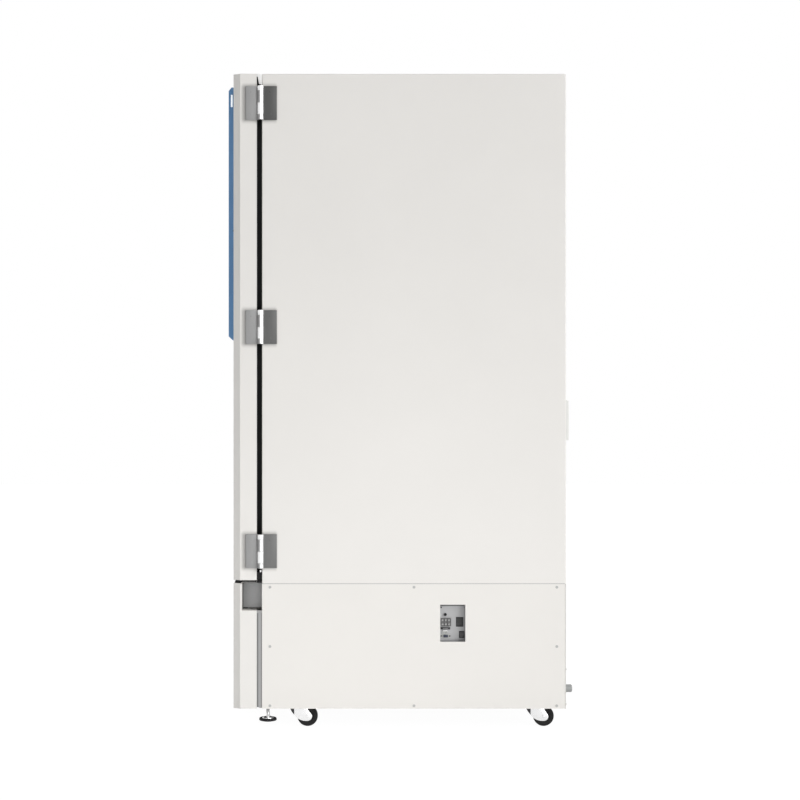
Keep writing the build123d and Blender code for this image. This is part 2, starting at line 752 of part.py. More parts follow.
screws = []
for y, z in screw_spots:
    head = rod_x((half, half + screw_head_height), y, z, screw_head)
    head += rod_x((frame_x, half), y, z, screw_shank)
    slot_long, slot_wide, slot_deep = screw_slot
    head -= block((half + screw_head_height - slot_deep, half + screw_head_height + 1),
                  (y - slot_long / 2, y + slot_long / 2), (z - slot_wide / 2, z + slot_wide / 2))
    screws += [head, mirror_x(head)]
rear_spots = [(side * (half - rear_screw_side), z) for side in (-1, 1) for z in (rear_screw_low, screw_high)]
rear_cover = block((-half, half), (frame_back, cabinet_depth), cover_z)
rear_cover = chamfer(rear_cover.edges().filter_by(Axis.Z).sort_by(Axis.Y)[-2:], 1)
for x, z in rear_spots:
    rear_cover -= rod_y(x, (frame_back - 1, cabinet_depth + 1), z, screw_shank + screw_clearance)
    screws.append(rod_y(x, (cabinet_depth, cabinet_depth + screw_head_height), z, screw_head)
                  + rod_y(x, (frame_back, cabinet_depth), z, screw_shank))
louvre_width = (2 * (half - louvre_side) - 2 * louvre_column_gap) / 3
for column in (-1, 0, 1):
    middle = column * (louvre_width + louvre_column_gap)
    for row in range(louvre_rows):
        low = louvre[2] + row * louvre[1]
        rear_cover -= block((middle - louvre_width / 2, middle + louvre_width / 2),
                            (frame_back - 1, cabinet_depth + 1), (low, low + louvre[0]))
rear_cover -= rod_y(gland_x, gland_hole, gland_z, gland_collar)
keep("rear_cover", rear_cover)
keep("cover_screws", *screws)

gland = rod_y(gland_x, (cabinet_depth, rear_reach), gland_z, gland_radius)
gland = fillet(gland.faces().sort_by(Axis.Y)[-1].edges(), gland_round)
gland += rod_y(gland_x, (frame_back - gland_inside, cabinet_depth), gland_z, gland_collar)
gland -= rod_y(gland_x, (frame_back + 2, rear_reach + 1), gland_z, gland_bore)
keep("cord_gland", gland)

# Terminal box in the window, with its two rocker switches. Places count from the window's
# lower front corner
plate_x = half - window_depth
housing = block((plate_x - sheet, frame_x), (window_y[0] - sheet, window_y[1] + sheet),
                (window_z[0] - sheet, window_z[1] + sheet))
housing += block((frame_x - sheet, frame_x), (window_y[0] - window_flange, window_y[1] + window_flange),
                 (window_z[0] - window_flange, window_z[1] + window_flange))
housing -= block((plate_x, half), window_y, window_z)
for y, z, width, tall in (power_rocker, battery_rocker):
    y, z = window_y[0] + y, window_z[0] + z
    housing -= block((plate_x - sheet - 1, plate_x + 1), (y - width / 2 + 1, y + width / 2 - 1),
                     (z - tall / 2 + 1, z + tall / 2 - 1))
keep("terminal_box", housing)


def on_plate(span_y, span_z, reach):
    """A block on the terminal plate."""
    return block((plate_x, plate_x + reach), [window_y[0] + y for y in span_y],
                 [window_z[0] + z for z in span_z])


def rocker(y, z, width, tall):
    """Bezel and tilting cap of one switch, tilted to its on side."""
    y, z = window_y[0] + y, window_z[0] + z
    bezel = block((plate_x, plate_x + rocker_rim_proud), (y - width / 2, y + width / 2),
                  (z - tall / 2, z + tall / 2))
    bezel += block((plate_x - rocker_body, plate_x), (y - width / 2 + 1, y + width / 2 - 1),
                   (z - tall / 2 + 1, z + tall / 2 - 1))
    room_y, room_z = width / 2 - rocker_rim, tall / 2 - rocker_rim
    bezel -= block((plate_x - rocker_body + rocker_floor, plate_x + rocker_rim_proud + 1),
                   (y - room_y, y + room_y), (z - room_z, z + room_z))
    cap_z, cap_y = room_z - 3 * touch_gap, room_y - touch_gap
    tip, dip, back = 2.1 * rocker_rim_proud, 1.3 * rocker_rim_proud, -2.5 * rocker_rim_proud
    profile = [(back, -cap_z * 0.6), (rocker_rim_proud, -cap_z), (tip, -cap_z), (dip, 0), (tip, cap_z),
               (rocker_rim_proud, cap_z), (back, cap_z * 0.6)]
    face = make_face(Polyline(*[(x, 0, up) for x, up in profile], close=True))
    cap = Pos(0, -cap_y, 0) * extrude(face, 2 * cap_y, dir=(0, 1, 0))
    cap += rod_y(0, (-room_y, room_y), 0, rocker_axle)
    return bezel, Pos(plate_x, y, z) * Rot(0, -rocker_tilt, 0) * cap


bezels = []
for name, spot in (("power_switch", power_rocker), ("battery_switch", battery_rocker)):
    bezel, cap = rocker(*spot)
    bezels.append(bezel)
    keep(name, cap)
keep("switch_bezels", *bezels)

jack_y, jack_z = window_y[0] + jack[0], window_z[0] + jack[1]
round_jack = rod_x((plate_x, plate_x + jack[4]), jack_y, jack_z, jack[2])
round_jack -= rod_x((plate_x + 1, plate_x + jack[4] + 1), jack_y, jack_z, jack[3])
terminals = on_plate(*terminal_block)
hole_x = (plate_x + terminal_block[2] / 2, plate_x + terminal_block[2] + 1)
for column in range(3):
    for row in range(2):
        terminals -= rod_x(hole_x, window_y[0] + terminal_hole[0] + column * terminal_hole[2],
                           window_z[0] + terminal_hole[1] + row * terminal_hole[3], terminal_hole[4])
slot_y, slot_z, slot_reach = slot_socket
slot_body = on_plate(*slot_socket)
slot_body -= block((plate_x + 1, plate_x + slot_reach + 1),
                   (window_y[0] + slot_y[0] + slot_rim, window_y[0] + slot_y[1] - slot_rim),
                   (window_z[0] + slot_z[0] + slot_rim, window_z[0] + slot_z[1] - slot_rim))
data_y, data_z, data_slant, data_reach = data_shell
shell_points = [(data_y[0], data_z[1]), (data_y[1], data_z[1]), (data_y[1] - data_slant, data_z[0]),
                (data_y[0] + data_slant, data_z[0])]
data_port = on_plate(*data_plate)
data_port += prism_x([(window_y[0] + y, window_z[0] + z) for y, z in shell_points],
                     (plate_x, plate_x + data_reach))
for y in data_screws[:2]:
    data_port += rod_x((plate_x, plate_x + data_screws[4]), window_y[0] + y, window_z[0] + data_screws[2],
                       data_screws[3])
keep("terminal_sockets", round_jack, terminals, on_plate(*dark_row), slot_body, data_port)

# Front panel: a folded cover, open at the rear, with cut-outs at its upper rear corners
panel_outer = prism_z(plan, (ground_gap, panel_top))
panel_hollow = prism_z([(-half + panel_skin, door_back + 1), (-half + panel_skin, chamfer_y + 1),
                        (-chamfer_x + 1, door_front + panel_skin), (chamfer_x - 1, door_front + panel_skin),
                        (half - panel_skin, chamfer_y + 1), (half - panel_skin, door_back + 1)],
                       (ground_gap + panel_skin, panel_top - panel_skin))
front_panel = panel_outer - panel_hollow
notch_y = door_back - notch_front
for side in (-1, 1):
    inboard = side * (half - notch_depth - notch_wall)
    outboard = side * (half - running)
    front_panel -= block((inboard, side * (half + 1)), (notch_y, door_back + 1), (notch_low, panel_top + 1))
    skin_y, skin_z = notch_y - panel_skin, notch_low - panel_skin
    front_panel += block((inboard, outboard), (skin_y, door_back), (skin_z, notch_low))
    front_panel += block((inboard, outboard), (skin_y, notch_y), (skin_z, panel_top))
for row in range(grille_slots):
    low = grille_low + row * grille_pitch
    front_panel -= block((-half + grille_side, half - grille_side),
                         (door_front - 1, door_front + panel_skin + 1), (low, low + grille_slot))
for side in (-1, 1):
    x = (side * panel_lug_x - panel_lug_length / 2, side * panel_lug_x + panel_lug_length / 2)
    lug = rod_x(x, panel_axis_y, panel_axis_z, panel_lug_radius - 1)
    lug += block(x, (door_back - panel_lug_radius, panel_axis_y),
                 (panel_axis_z - panel_lug_radius + 1, panel_axis_z))
    front_panel += lug
    clear = (x[0] - panel_ear - 2, x[1] + panel_ear + 2)
    front_panel -= rod_x(clear, panel_axis_y, panel_axis_z, panel_pin_radius + running)
keep("front_panel", front_panel)

filter_x = half - grille_side + filter_margin[0]
filter_z = (grille_low - filter_margin[1], grille_low + grille_slots * grille_pitch + filter_margin[2])
filter_y = (door_front + panel_skin, door_front + panel_skin + filter_thickness)
air_filter = block((-filter_x, filter_x), filter_y, filter_z)
air_filter -= block((-filter_x + filter_frame, filter_x - filter_frame),
                    (filter_y[0] - 1, filter_y[0] + filter_thickness / 4),
                    (filter_z[0] + filter_frame, filter_z[1] - filter_frame))
keep("air_filter", air_filter)

# Refrigeration machine: two compressors, condenser, fan and pipes on the pan
pan_top = pan_z[1]


def compressor(x, y, radius, tall):
    foot_half, foot_high = compressor_feet
    feet = block((x - radius, x + radius), (y - foot_half, y + foot_half), (pan_top, pan_top + foot_high))
    body = rod_z(x, y, (pan_top + foot_high, pan_top + tall), radius)
    body = fillet(body.edges().filter_by(GeomType.CIRCLE), radius * 0.32)
    return feet + body + rod_z(x, y, (pan_top + foot_high / 2, pan_top + compressor_neck), radius * 0.55)


high_x, high_y = -half + compressor_high[0], cabinet_depth - compressor_high[1]
low_x, low_y = half - compressor_low[0], cabinet_depth - compressor_low[1]
keep("compressors", compressor(high_x, high_y, *compressor_high[2:]),
     compressor(low_x, low_y, *compressor_low[2:]))

coil_x = half - coil_side
coil_y = (coil_front, coil_front + coil_deep)
coil_z = (pan_top, seam_z - coil_drop)
coil = block((-coil_x, -coil_x + coil_header), coil_y, coil_z)
coil += block((coil_x - coil_header, coil_x), coil_y, coil_z)
tube_high, tube_low_margin, tube_high_margin = coil_tube
tube_reach = coil_x - coil_header + coil_overlap
for row in range(flat_tubes):
    run = coil_z[1] - coil_z[0] - tube_low_margin - tube_high_margin
    low = coil_z[0] + tube_low_margin + row * run / (flat_tubes - 1)
    coil += block((-tube_reach, tube_reach), (coil_y[0] + coil_tube_inset, coil_y[1] - coil_tube_inset),
                  (low, low + tube_high))

fan_y = (coil_y[1] + fan_from_coil, coil_y[1] + fan_from_coil + fan_deep)
shroud_y = (coil_y[1], coil_y[1] + shroud_back)
shroud_top = coil_z[1] + coil_overlap
shroud = block((-shroud_half, shroud_half), shroud_y, (pan_top, shroud_top))
shroud -= block((-shroud_half + shroud_wall, shroud_half - shroud_wall),
                (coil_y[1] - 1, shroud_y[1] - 6 * shroud_wall),
                (pan_top + shroud_wall, shroud_top - shroud_wall))
shroud -= rod_y(0, (coil_y[1] + fan_from_coil / 2, fan_y[1]), fan_z, fan_radius + fan_clearance)
keep("condenser", coil, shroud)
motor_front = fan_y[1] + motor_gap
strap_high, strap_back, strap_deep = motor_strap
strap_y = (motor_front + strap_high, motor_front + strap_high + strap_deep)
motor = rod_y(0, (motor_front, motor_front + motor_long), fan_z, motor_radius)
motor += block((-shroud_half, shroud_half), strap_y, (fan_z - strap_high, fan_z + strap_high))
for side in (-1, 1):
    motor += block((side * (shroud_half - 2 * strap_deep), side * shroud_half), (shroud_y[1], strap_y[1]),
                   (fan_z - strap_high, fan_z + strap_high))
motor += rod_y(0, (fan_y[0], motor_front + 2), fan_z, motor_shaft)
keep("fan_motor", motor)
blades = rod_y(0, (fan_y[0] + 2, fan_y[1] - motor_gap), fan_z, fan_hub)
blade_middle = fan_radius - 2 - fan_blade[0] / 2
for turn in range(fan_blades):
    blade = Pos(blade_middle, (fan_y[0] + fan_y[1]) / 2 - 2, 0) * Rot(fan_pitch, 0, 0) * Box(*fan_blade)
    blades += Pos(0, 0, fan_z) * Rot(0, turn * 360 / fan_blades, 0) * blade
blades -= rod_y(0, (fan_y[0] - 1, fan_y[1]), fan_z, motor_shaft + running)
keep("fan_blades", blades)


def pipe(points, radii, size):
    route = FilletPolyline(*points, radius=radii)
    return sweep(Plane(origin=route @ 0, z_dir=route % 0) * Circle(size), path=route)


header_x = -coil_x + coil_header / 2
pipe_z = seam_z - pipe_drop
pipe_low = pipe_z - 2 * pipe_radius
high_top, low_top = pan_top + compressor_high[3], pan_top + compressor_low[3]
rise = pipe([(header_x, coil_y[1], pipe_low), (header_x, high_y, pipe_low), (header_x, high_y, high_top)],
            [pipe_bends[0]], pipe_radius)
link_x = high_x + pipe_offset
link = pipe([(link_x, high_y, high_top), (link_x, high_y, pipe_z), (low_x, low_y, pipe_z),
             (low_x, low_y, low_top)], [pipe_bends[1], pipe_bends[1]], pipe_radius)
keep("refrigerant_pipes", rise, link)
keep("control_box", block((half - control_box_side[0], half - control_box_side[1]),
                          (cabinet_depth - control_box_rear[0], cabinet_depth - control_box_rear[1]),
                          (pan_top, pan_top + control_box_high)))

# Access port through the rear wall, with its foam plug and boxed cover
sleeve_radius = access_port_radius + port_hole_clearance
sleeve = rod_y(access_port_x, (chamber_back, cabinet_depth), access_port_z, sleeve_radius)
sleeve -= rod_y(access_port_x, (chamber_back - 1, cabinet_depth + 1), access_port_z, access_port_radius)
keep("access_port_sleeve", sleeve)
cover_y = cabinet_depth + touch_gap
cover_half = access_cover[0] / 2
cover_low, cover_high = access_port_z - access_cover[1] / 2, access_port_z + access_cover[1] / 2
cover_back = cabinet_depth + access_cover[2]
cover = prism_x([(cover_y, cover_low), (cover_back, cover_low),
                 (cover_back, cover_high - access_cover_chamfer),
                 (cover_back - 2 * access_cover_chamfer, cover_high), (cover_y, cover_high)],
                (access_port_x - cover_half, access_port_x + cover_half))
plug_rod = rod_y(access_port_x, (chamber_back + 4, cover_y), access_port_z, access_port_radius - touch_gap)
keep("access_port_plug", plug_rod, cover)

# Casters
hub_radius = wheel_radius - tread
mounts, wheel_half = [], wheel_width / 2
plate_w, plate_d, plate_t = caster_plate_size
fork_inside = wheel_half + fork_gap
fork_top = rail_low - plate_t - touch_gap
for tag, side, centre_y in (("front_right", 1, caster_y[0]), ("front_left", -1, caster_y[0]),
                            ("rear_right", 1, caster_y[1]), ("rear_left", -1, caster_y[1])):
    x = side * caster_x
    plate = block((x - plate_w / 2, x + plate_w / 2), (centre_y - plate_d / 2, centre_y + plate_d / 2),
                  (rail_low - plate_t, rail_low))
    mounts.append(plate - rod_z(x, centre_y, (rail_low - plate_t - 1, rail_low + 1), stem_radius + running))
    axle_y = centre_y + caster_trail
    shoulder_y = (centre_y - fork_shoulder, centre_y + fork_shoulder)
    fork = None
    for edge in (-1, 1):
        near, far = x + edge * fork_inside, x + edge * (fork_inside + fork_plate)
        leg = prism_x([(shoulder_y[0], fork_top), (shoulder_y[1], fork_top),
                       (axle_y + fork_round, wheel_radius), (axle_y, wheel_radius - fork_round + fork_plate),
                       (axle_y - fork_round, wheel_radius)], (min(near, far), max(near, far)))
        leg += rod_x((near, far), axle_y, wheel_radius, fork_round)
        fork = leg if fork is None else fork + leg
    fork += rod_z(x, centre_y, (fork_top - fork_top_plate, fork_top), fork_head_radius)
    fork += block((x - fork_inside - 1, x + fork_inside + 1), shoulder_y,
                  (fork_top - fork_top_plate, fork_top))
    axle_reach = fork_inside + fork_plate + 2
    fork -= rod_x((x - axle_reach, x + axle_reach), axle_y, wheel_radius, axle_radius)
    fork += rod_z(x, centre_y, (fork_top - 1, rail_low + nut_high), stem_radius)
    axle = rod_x((x - axle_reach, x + axle_reach), axle_y, wheel_radius, axle_radius)
    nut_z = (rail_low + touch_gap, rail_low + nut_high)
    nut = rod_z(x, centre_y, nut_z, nut_radius)
    nut -= rod_z(x, centre_y, (nut_z[0] - 1, nut_z[1] + 1), stem_radius)
    keep("caster_fork_" + tag, fork, axle, nut)
    wheel = rod_x((x - wheel_half, x + wheel_half), axle_y, wheel_radius, wheel_radius)
    wheel = fillet(wheel.edges().filter_by(GeomType.CIRCLE), wheel_edge)
    for edge in (-1, 1):
        face_x, floor_x = x + edge * wheel_half, x + edge * (wheel_half - wheel_recess)
        wheel -= rod_x((floor_x, face_x + edge), axle_y, wheel_radius, hub_radius)
        wheel += rod_x((floor_x - edge, face_x), axle_y, wheel_radius, axle_radius + wheel_boss)
    wheel -= rod_x((x - fork_inside, x + fork_inside), axle_y, wheel_radius, axle_radius + running)
    keep("caster_wheel_" + tag, wheel)
keep("caster_plates", *mounts)

# Levelling feet
for tag, side in (("right", 1), ("left", -1)):
    x = side * foot_x
    pad_top = foot_rise + foot_base
    stem = rod_z(x, foot_y, (pad_top, rail_low + foot_stem_top), stem_radius)
    dome = Cone(foot_pad_radius - 2 * foot_edge, foot_pad_radius * 0.4, foot_dome)
    pad = rod_z(x, foot_y, (foot_rise, pad_top), foot_pad_radius)
    pad = fillet(pad.edges().filter_by(GeomType.CIRCLE).sort_by(Axis.Z)[-1], foot_edge)
    keep("levelling_foot_" + tag, stem + Pos(x, foot_y, pad_top + foot_dome / 2) * dome + pad)

for name, solids in nodes.items():
    moved = [shift * solid for solid in solids]
    export_step(moved[0] if len(moved) == 1 else Compound(children=moved), f"parts/{name}.step")
print(len(nodes), "nodes, origin moved by", shift.position)
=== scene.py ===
import bpy
import bmesh
from math import cos, pi, radians, sin
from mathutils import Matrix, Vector


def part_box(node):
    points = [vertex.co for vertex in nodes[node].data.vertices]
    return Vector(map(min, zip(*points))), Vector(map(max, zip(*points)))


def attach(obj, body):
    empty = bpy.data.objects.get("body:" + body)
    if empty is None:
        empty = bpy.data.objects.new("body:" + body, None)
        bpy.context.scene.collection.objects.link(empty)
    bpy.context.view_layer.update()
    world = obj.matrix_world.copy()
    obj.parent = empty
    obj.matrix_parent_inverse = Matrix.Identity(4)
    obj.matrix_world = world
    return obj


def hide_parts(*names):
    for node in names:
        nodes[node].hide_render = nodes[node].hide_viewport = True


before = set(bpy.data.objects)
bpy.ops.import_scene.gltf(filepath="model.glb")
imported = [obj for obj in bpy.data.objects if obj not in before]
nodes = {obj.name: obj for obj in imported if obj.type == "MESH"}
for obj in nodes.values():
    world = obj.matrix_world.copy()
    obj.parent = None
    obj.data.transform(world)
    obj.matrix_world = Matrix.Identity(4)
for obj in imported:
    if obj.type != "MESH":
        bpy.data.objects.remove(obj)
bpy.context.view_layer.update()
print("frame loaded", len(nodes), "nodes")

# The side plane on the hinge side, the cabinet's front face and its middle, all read from the frame
cabinetLow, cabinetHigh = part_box("outer_cabinet")
sideX = cabinetHigh.x
frontY = cabinetLow.y
middleX = (cabinetLow.x + cabinetHigh.x) / 2
mm = 0.001

camera = {"distance": 5.0, "height": 0.995, "behindFront": 0.154, "lens": 74.53, "sensor": 36,
          "shiftX": 0.10875, "farthest": 60}


def placeCamera():
    data = bpy.data.cameras.new("photoCamera")
    data.lens = camera["lens"]
    data.sensor_width = camera["sensor"]
    data.shift_x = camera["shiftX"]
    data.clip_end = camera["farthest"]
    eye = bpy.data.objects.new("photoCamera", data)
    eye.location = (sideX + camera["distance"], frontY + camera["behindFront"], camera["height"])
    eye.rotation_euler = (radians(90), 0, radians(90))
    bpy.context.scene.collection.objects.link(eye)
    bpy.context.scene.camera = eye


placeCamera()

# Materials. Each one is a Principled shader with noise on Object coordinates for tone and grain
paints = {
    "whitePaint": {"slot": "white_steel", "colour": (0.83, 0.812, 0.782), "rough": 0.36,
                   "tone": 0.012, "grain": 1400, "bump": 0.035, "coat": 0.25},
    "coverPaint": {"slot": "white_steel", "colour": (0.825, 0.805, 0.772), "rough": 0.38,
                   "tone": 0.015, "grain": 1400, "bump": 0.035, "coat": 0.2},
    "rearPaint": {"slot": "white_steel", "colour": (0.64, 0.628, 0.597), "rough": 0.4, "tone": 0.02,
                  "grain": 1400, "bump": 0.04, "coat": 0.2},
    "whitePlastic": {"slot": "white_plastic", "colour": (0.78, 0.78, 0.76), "rough": 0.45,
                     "tone": 0.02, "grain": 700, "bump": 0.06},
    "brightPlastic": {"slot": "white_plastic", "colour": (0.96, 0.96, 0.95), "rough": 0.35,
                      "tone": 0.01, "grain": 700, "bump": 0.03, "coat": 0.2},
    "foam": {"slot": "foam", "colour": (0.74, 0.66, 0.42), "rough": 0.9, "tone": 0.12, "grain": 300,
             "bump": 0.5},
    "linerSteel": {"slot": "liner_steel", "colour": (0.66, 0.67, 0.68), "rough": 0.38, "metal": 0.3,
                   "tone": 0.05, "grain": 500, "bump": 0.05, "stretch": (1, 1, 0.03)},
    "greySteel": {"slot": "grey_steel", "colour": (0.3, 0.3, 0.3), "rough": 0.45, "metal": 0.55,
                  "tone": 0.08, "grain": 260, "bump": 0.05},
    "windowSteel": {"slot": "grey_steel", "colour": (0.5, 0.5, 0.505), "rough": 0.42, "metal": 0.3,
                    "tone": 0.05, "grain": 500, "bump": 0.05},
    "brightZinc": {"slot": "bright_zinc", "colour": (0.86, 0.86, 0.86), "rough": 0.24, "metal": 0.9,
                   "tone": 0.04, "grain": 400, "bump": 0.03},
    "pinSteel": {"slot": "bright_zinc", "colour": (0.02, 0.02, 0.02), "rough": 0.5, "metal": 0.3,
                 "tone": 0.1, "grain": 400, "bump": 0.03},
    "screwZinc": {"slot": "bright_zinc", "colour": (0.5, 0.5, 0.49), "rough": 0.35, "metal": 0.5,
                  "tone": 0.04, "grain": 400, "bump": 0.03},
    "hingeChrome": {"slot": "bright_zinc", "colour": (0.95, 0.95, 0.95), "rough": 0.2, "metal": 0.6,
                    "tone": 0.02, "grain": 300, "bump": 0.02, "coat": 0.3},
    "doorLeafGrey": {"slot": "hinge_grey", "colour": (0.335, 0.335, 0.335), "rough": 0.42,
                     "metal": 0.2, "tone": 0.05, "grain": 900, "bump": 0.06},
    "cabinetLeafGrey": {"slot": "hinge_grey", "colour": (0.15, 0.15, 0.148), "rough": 0.42,
                        "metal": 0.2, "tone": 0.05, "grain": 900, "bump": 0.06},
    "blackRubber": {"slot": "black_rubber", "colour": (0.012, 0.012, 0.013), "rough": 0.75,
                    "tone": 0.2, "grain": 900, "bump": 0.12},
    "tyreRubber": {"slot": "black_rubber", "colour": (0.012, 0.012, 0.012), "rough": 0.6,
                   "tone": 0.15, "grain": 1100, "bump": 0.1},
    "blackPlastic": {"slot": "black_plastic", "colour": (0.018, 0.018, 0.02), "rough": 0.38,
                     "tone": 0.15, "grain": 900, "bump": 0.05},
    "greyPlastic": {"slot": "black_plastic", "colour": (0.36, 0.37, 0.37), "rough": 0.5,
                    "tone": 0.06, "grain": 700, "bump": 0.06},
    "switchPlastic": {"slot": "black_plastic", "colour": (0.05, 0.05, 0.05), "rough": 0.45,
                      "tone": 0.08, "grain": 900, "bump": 0.05},
    "batteryPlastic": {"slot": "black_plastic", "colour": (0.1, 0.1, 0.1), "rough": 0.45,
                       "tone": 0.08, "grain": 900, "bump": 0.05},
    "blockPlastic": {"slot": "black_plastic", "colour": (0.17, 0.17, 0.17), "rough": 0.5,
                     "tone": 0.08, "grain": 700, "bump": 0.06},
    "socketPlastic": {"slot": "white_plastic", "colour": (0.5, 0.51, 0.49), "rough": 0.5,
                      "tone": 0.06, "grain": 700, "bump": 0.06},
    "connectorBlue": {"slot": "black_plastic", "colour": (0.03, 0.035, 0.06), "rough": 0.4,
                      "tone": 0.1, "grain": 900, "bump": 0.05},
    "bluePlastic": {"slot": "blue_plastic", "colour": (0.148, 0.35, 0.67), "rough": 0.34,
                    "tone": 0.03, "grain": 800, "bump": 0.04, "coat": 0.2},
    "lensWhite": {"slot": "lens_white", "colour": (0.9, 0.92, 0.94), "rough": 0.25, "tone": 0.01,
                  "grain": 300, "bump": 0.01, "coat": 0.4},
    "screenGlass": {"slot": "display_glass", "colour": (0.015, 0.02, 0.03), "rough": 0.08,
                    "tone": 0.05, "grain": 200, "bump": 0.0, "coat": 0.6},
    "digitGlow": {"slot": "display_glass", "colour": (0.55, 0.85, 0.95), "rough": 0.3, "tone": 0.02,
                  "grain": 300, "bump": 0.0},
    "copper": {"slot": "copper", "colour": (0.72, 0.36, 0.22), "rough": 0.3, "metal": 1,
               "tone": 0.15, "grain": 120, "bump": 0.04},
    "aluminium": {"slot": "aluminium_fin", "colour": (0.7, 0.71, 0.72), "rough": 0.35, "metal": 1,
                  "tone": 0.06, "grain": 300, "bump": 0.05},
    "blackEnamel": {"slot": "black_enamel", "colour": (0.02, 0.02, 0.022), "rough": 0.3,
                    "tone": 0.1, "grain": 200, "bump": 0.08, "coat": 0.3},
    "filterMesh": {"slot": "filter_mesh", "colour": (0.03, 0.03, 0.032), "rough": 0.85, "tone": 0.3,
                   "grain": 260, "bump": 0.6},
}

# What all materials share: clouds change the tone, fine noise the gloss and the relief
surface = {"coatRough": 0.2, "cloudScale": 3, "cloudDetail": 3, "toneAt": (0.3, 0.7), "fineDetail": 2,
           "gloss": (0.88, 1.12), "relief": 0.0006}


def makeMaterial(name, slot, colour, rough, tone, grain, bump, metal=0, coat=0, stretch=(1, 1, 1)):
    material = bpy.data.materials.new(name)
    material.use_nodes = True
    tree = material.node_tree
    shader = tree.nodes["Principled BSDF"]
    shader.inputs["Metallic"].default_value = metal
    shader.inputs["Coat Weight"].default_value = coat
    shader.inputs["Coat Roughness"].default_value = surface["coatRough"]
    place = tree.nodes.new("ShaderNodeTexCoord")
    mapping = tree.nodes.new("ShaderNodeMapping")
    mapping.inputs["Scale"].default_value = stretch
    tree.links.new(place.outputs["Object"], mapping.inputs["Vector"])
    clouds = tree.nodes.new("ShaderNodeTexNoise")      # slow change of tone over the surface
    clouds.inputs["Scale"].default_value = surface["cloudScale"]
    clouds.inputs["Detail"].default_value = surface["cloudDetail"]
    tree.links.new(mapping.outputs["Vector"], clouds.inputs["Vector"])
    ramp = tree.nodes.new("ShaderNodeValToRGB")
    for stop, at, level in zip(ramp.color_ramp.elements, surface["toneAt"], (1 - tone, 1 + tone)):
        stop.position = at
        stop.color = [min(1, c * level) for c in colour] + [1]
    tree.links.new(clouds.outputs["Fac"], ramp.inputs["Fac"])
    tree.links.new(ramp.outputs["Color"], shader.inputs["Base Color"])
    fine = tree.nodes.new("ShaderNodeTexNoise")        # fine grain for the bump and the gloss
    fine.inputs["Scale"].default_value = grain
    fine.inputs["Detail"].default_value = surface["fineDetail"]
    tree.links.new(mapping.outputs["Vector"], fine.inputs["Vector"])
    gloss = tree.nodes.new("ShaderNodeMapRange")
    smooth, dim = surface["gloss"]
    gloss.inputs["To Min"].default_value = rough * smooth
    gloss.inputs["To Max"].default_value = min(1, rough * dim)
    tree.links.new(fine.outputs["Fac"], gloss.inputs["Value"])
    tree.links.new(gloss.outputs["Result"], shader.inputs["Roughness"])
    relief = tree.nodes.new("ShaderNodeBump")
    relief.inputs["Strength"].default_value = bump
    relief.inputs["Distance"].default_value = surface["relief"]
    tree.links.new(fine.outputs["Fac"], relief.inputs["Height"])
    tree.links.new(relief.outputs["Normal"], shader.inputs["Normal"])
    return material


finish = {name: makeMaterial(name, **values) for name, values in paints.items()}
# The figures glow as a lit display does. The lens's glow is painted light that brightens it
glowsAndPaintedLight = {"digitGlow": ((0.4, 0.85, 1, 1), 0.8), "lensWhite": ((0.9, 0.97, 1, 1), 0.62)}
for name, (colour, strength) in glowsAndPaintedLight.items():
    shader = finish[name].node_tree.nodes["Principled BSDF"]
    shader.inputs["Emission Color"].default_value = colour
    shader.inputs["Emission Strength"].default_value = strength
dull = {"tyreRubber": 0.2, "blackRubber": 0.3}         # rubber mirrors less than plastic
for name, level in dull.items():
    finish[name].node_tree.nodes["Principled BSDF"].inputs["Specular IOR Level"].default_value = level
print("materials made")

nodeFinish = {
    "whitePaint": ["outer_cabinet", "door_shell", "front_panel"],
    "coverPaint": ["right_side_cover", "left_side_cover"],
    "rearPaint": ["rear_cover"],
    "whitePlastic": ["breaker_frame", "access_port_sleeve", "access_port_plug", "door_liner",
                     "pressure_port", "inner_door_1", "inner_door_2", "inner_door_3", "inner_door_4"],
    "foam": ["cabinet_insulation", "door_insulation"],
    "linerSteel": ["inner_liner", "shelves"],
    "greySteel": ["base_frame", "control_box"],
    "windowSteel": ["terminal_box"],
    "brightZinc": ["inner_door_rod", "caster_plates", "lock_housing", "lock_cylinder"],
    "pinSteel": ["hinge_pins"],
    "screwZinc": ["cover_screws"],
    "doorLeafGrey": ["latch_strike", "handle_bracket", "handle_lever"],
    "blackRubber": ["door_gasket"],
    "blackPlastic": ["switch_bezels", "pressure_port_knob", "fan_blades"],
    "switchPlastic": ["power_switch"],
    "batteryPlastic": ["battery_switch"],
    "greyPlastic": ["cord_gland"],
    "bluePlastic": ["fascia"],
    "lensWhite": ["status_lens"],
    "screenGlass": ["display"],
    "copper": ["evaporator_tubes", "refrigerant_pipes"],
    "aluminium": ["condenser"],
    "blackEnamel": ["compressors", "fan_motor"],
    "filterMesh": ["air_filter"],
}


def paintNodes():
    for name, members in nodeFinish.items():
        for member in members:
            slots = nodes[member].data.materials
            if len(slots):
                slots[0] = finish[name]
            else:
                slots.append(finish[name])


paintNodes()
print("frame painted")

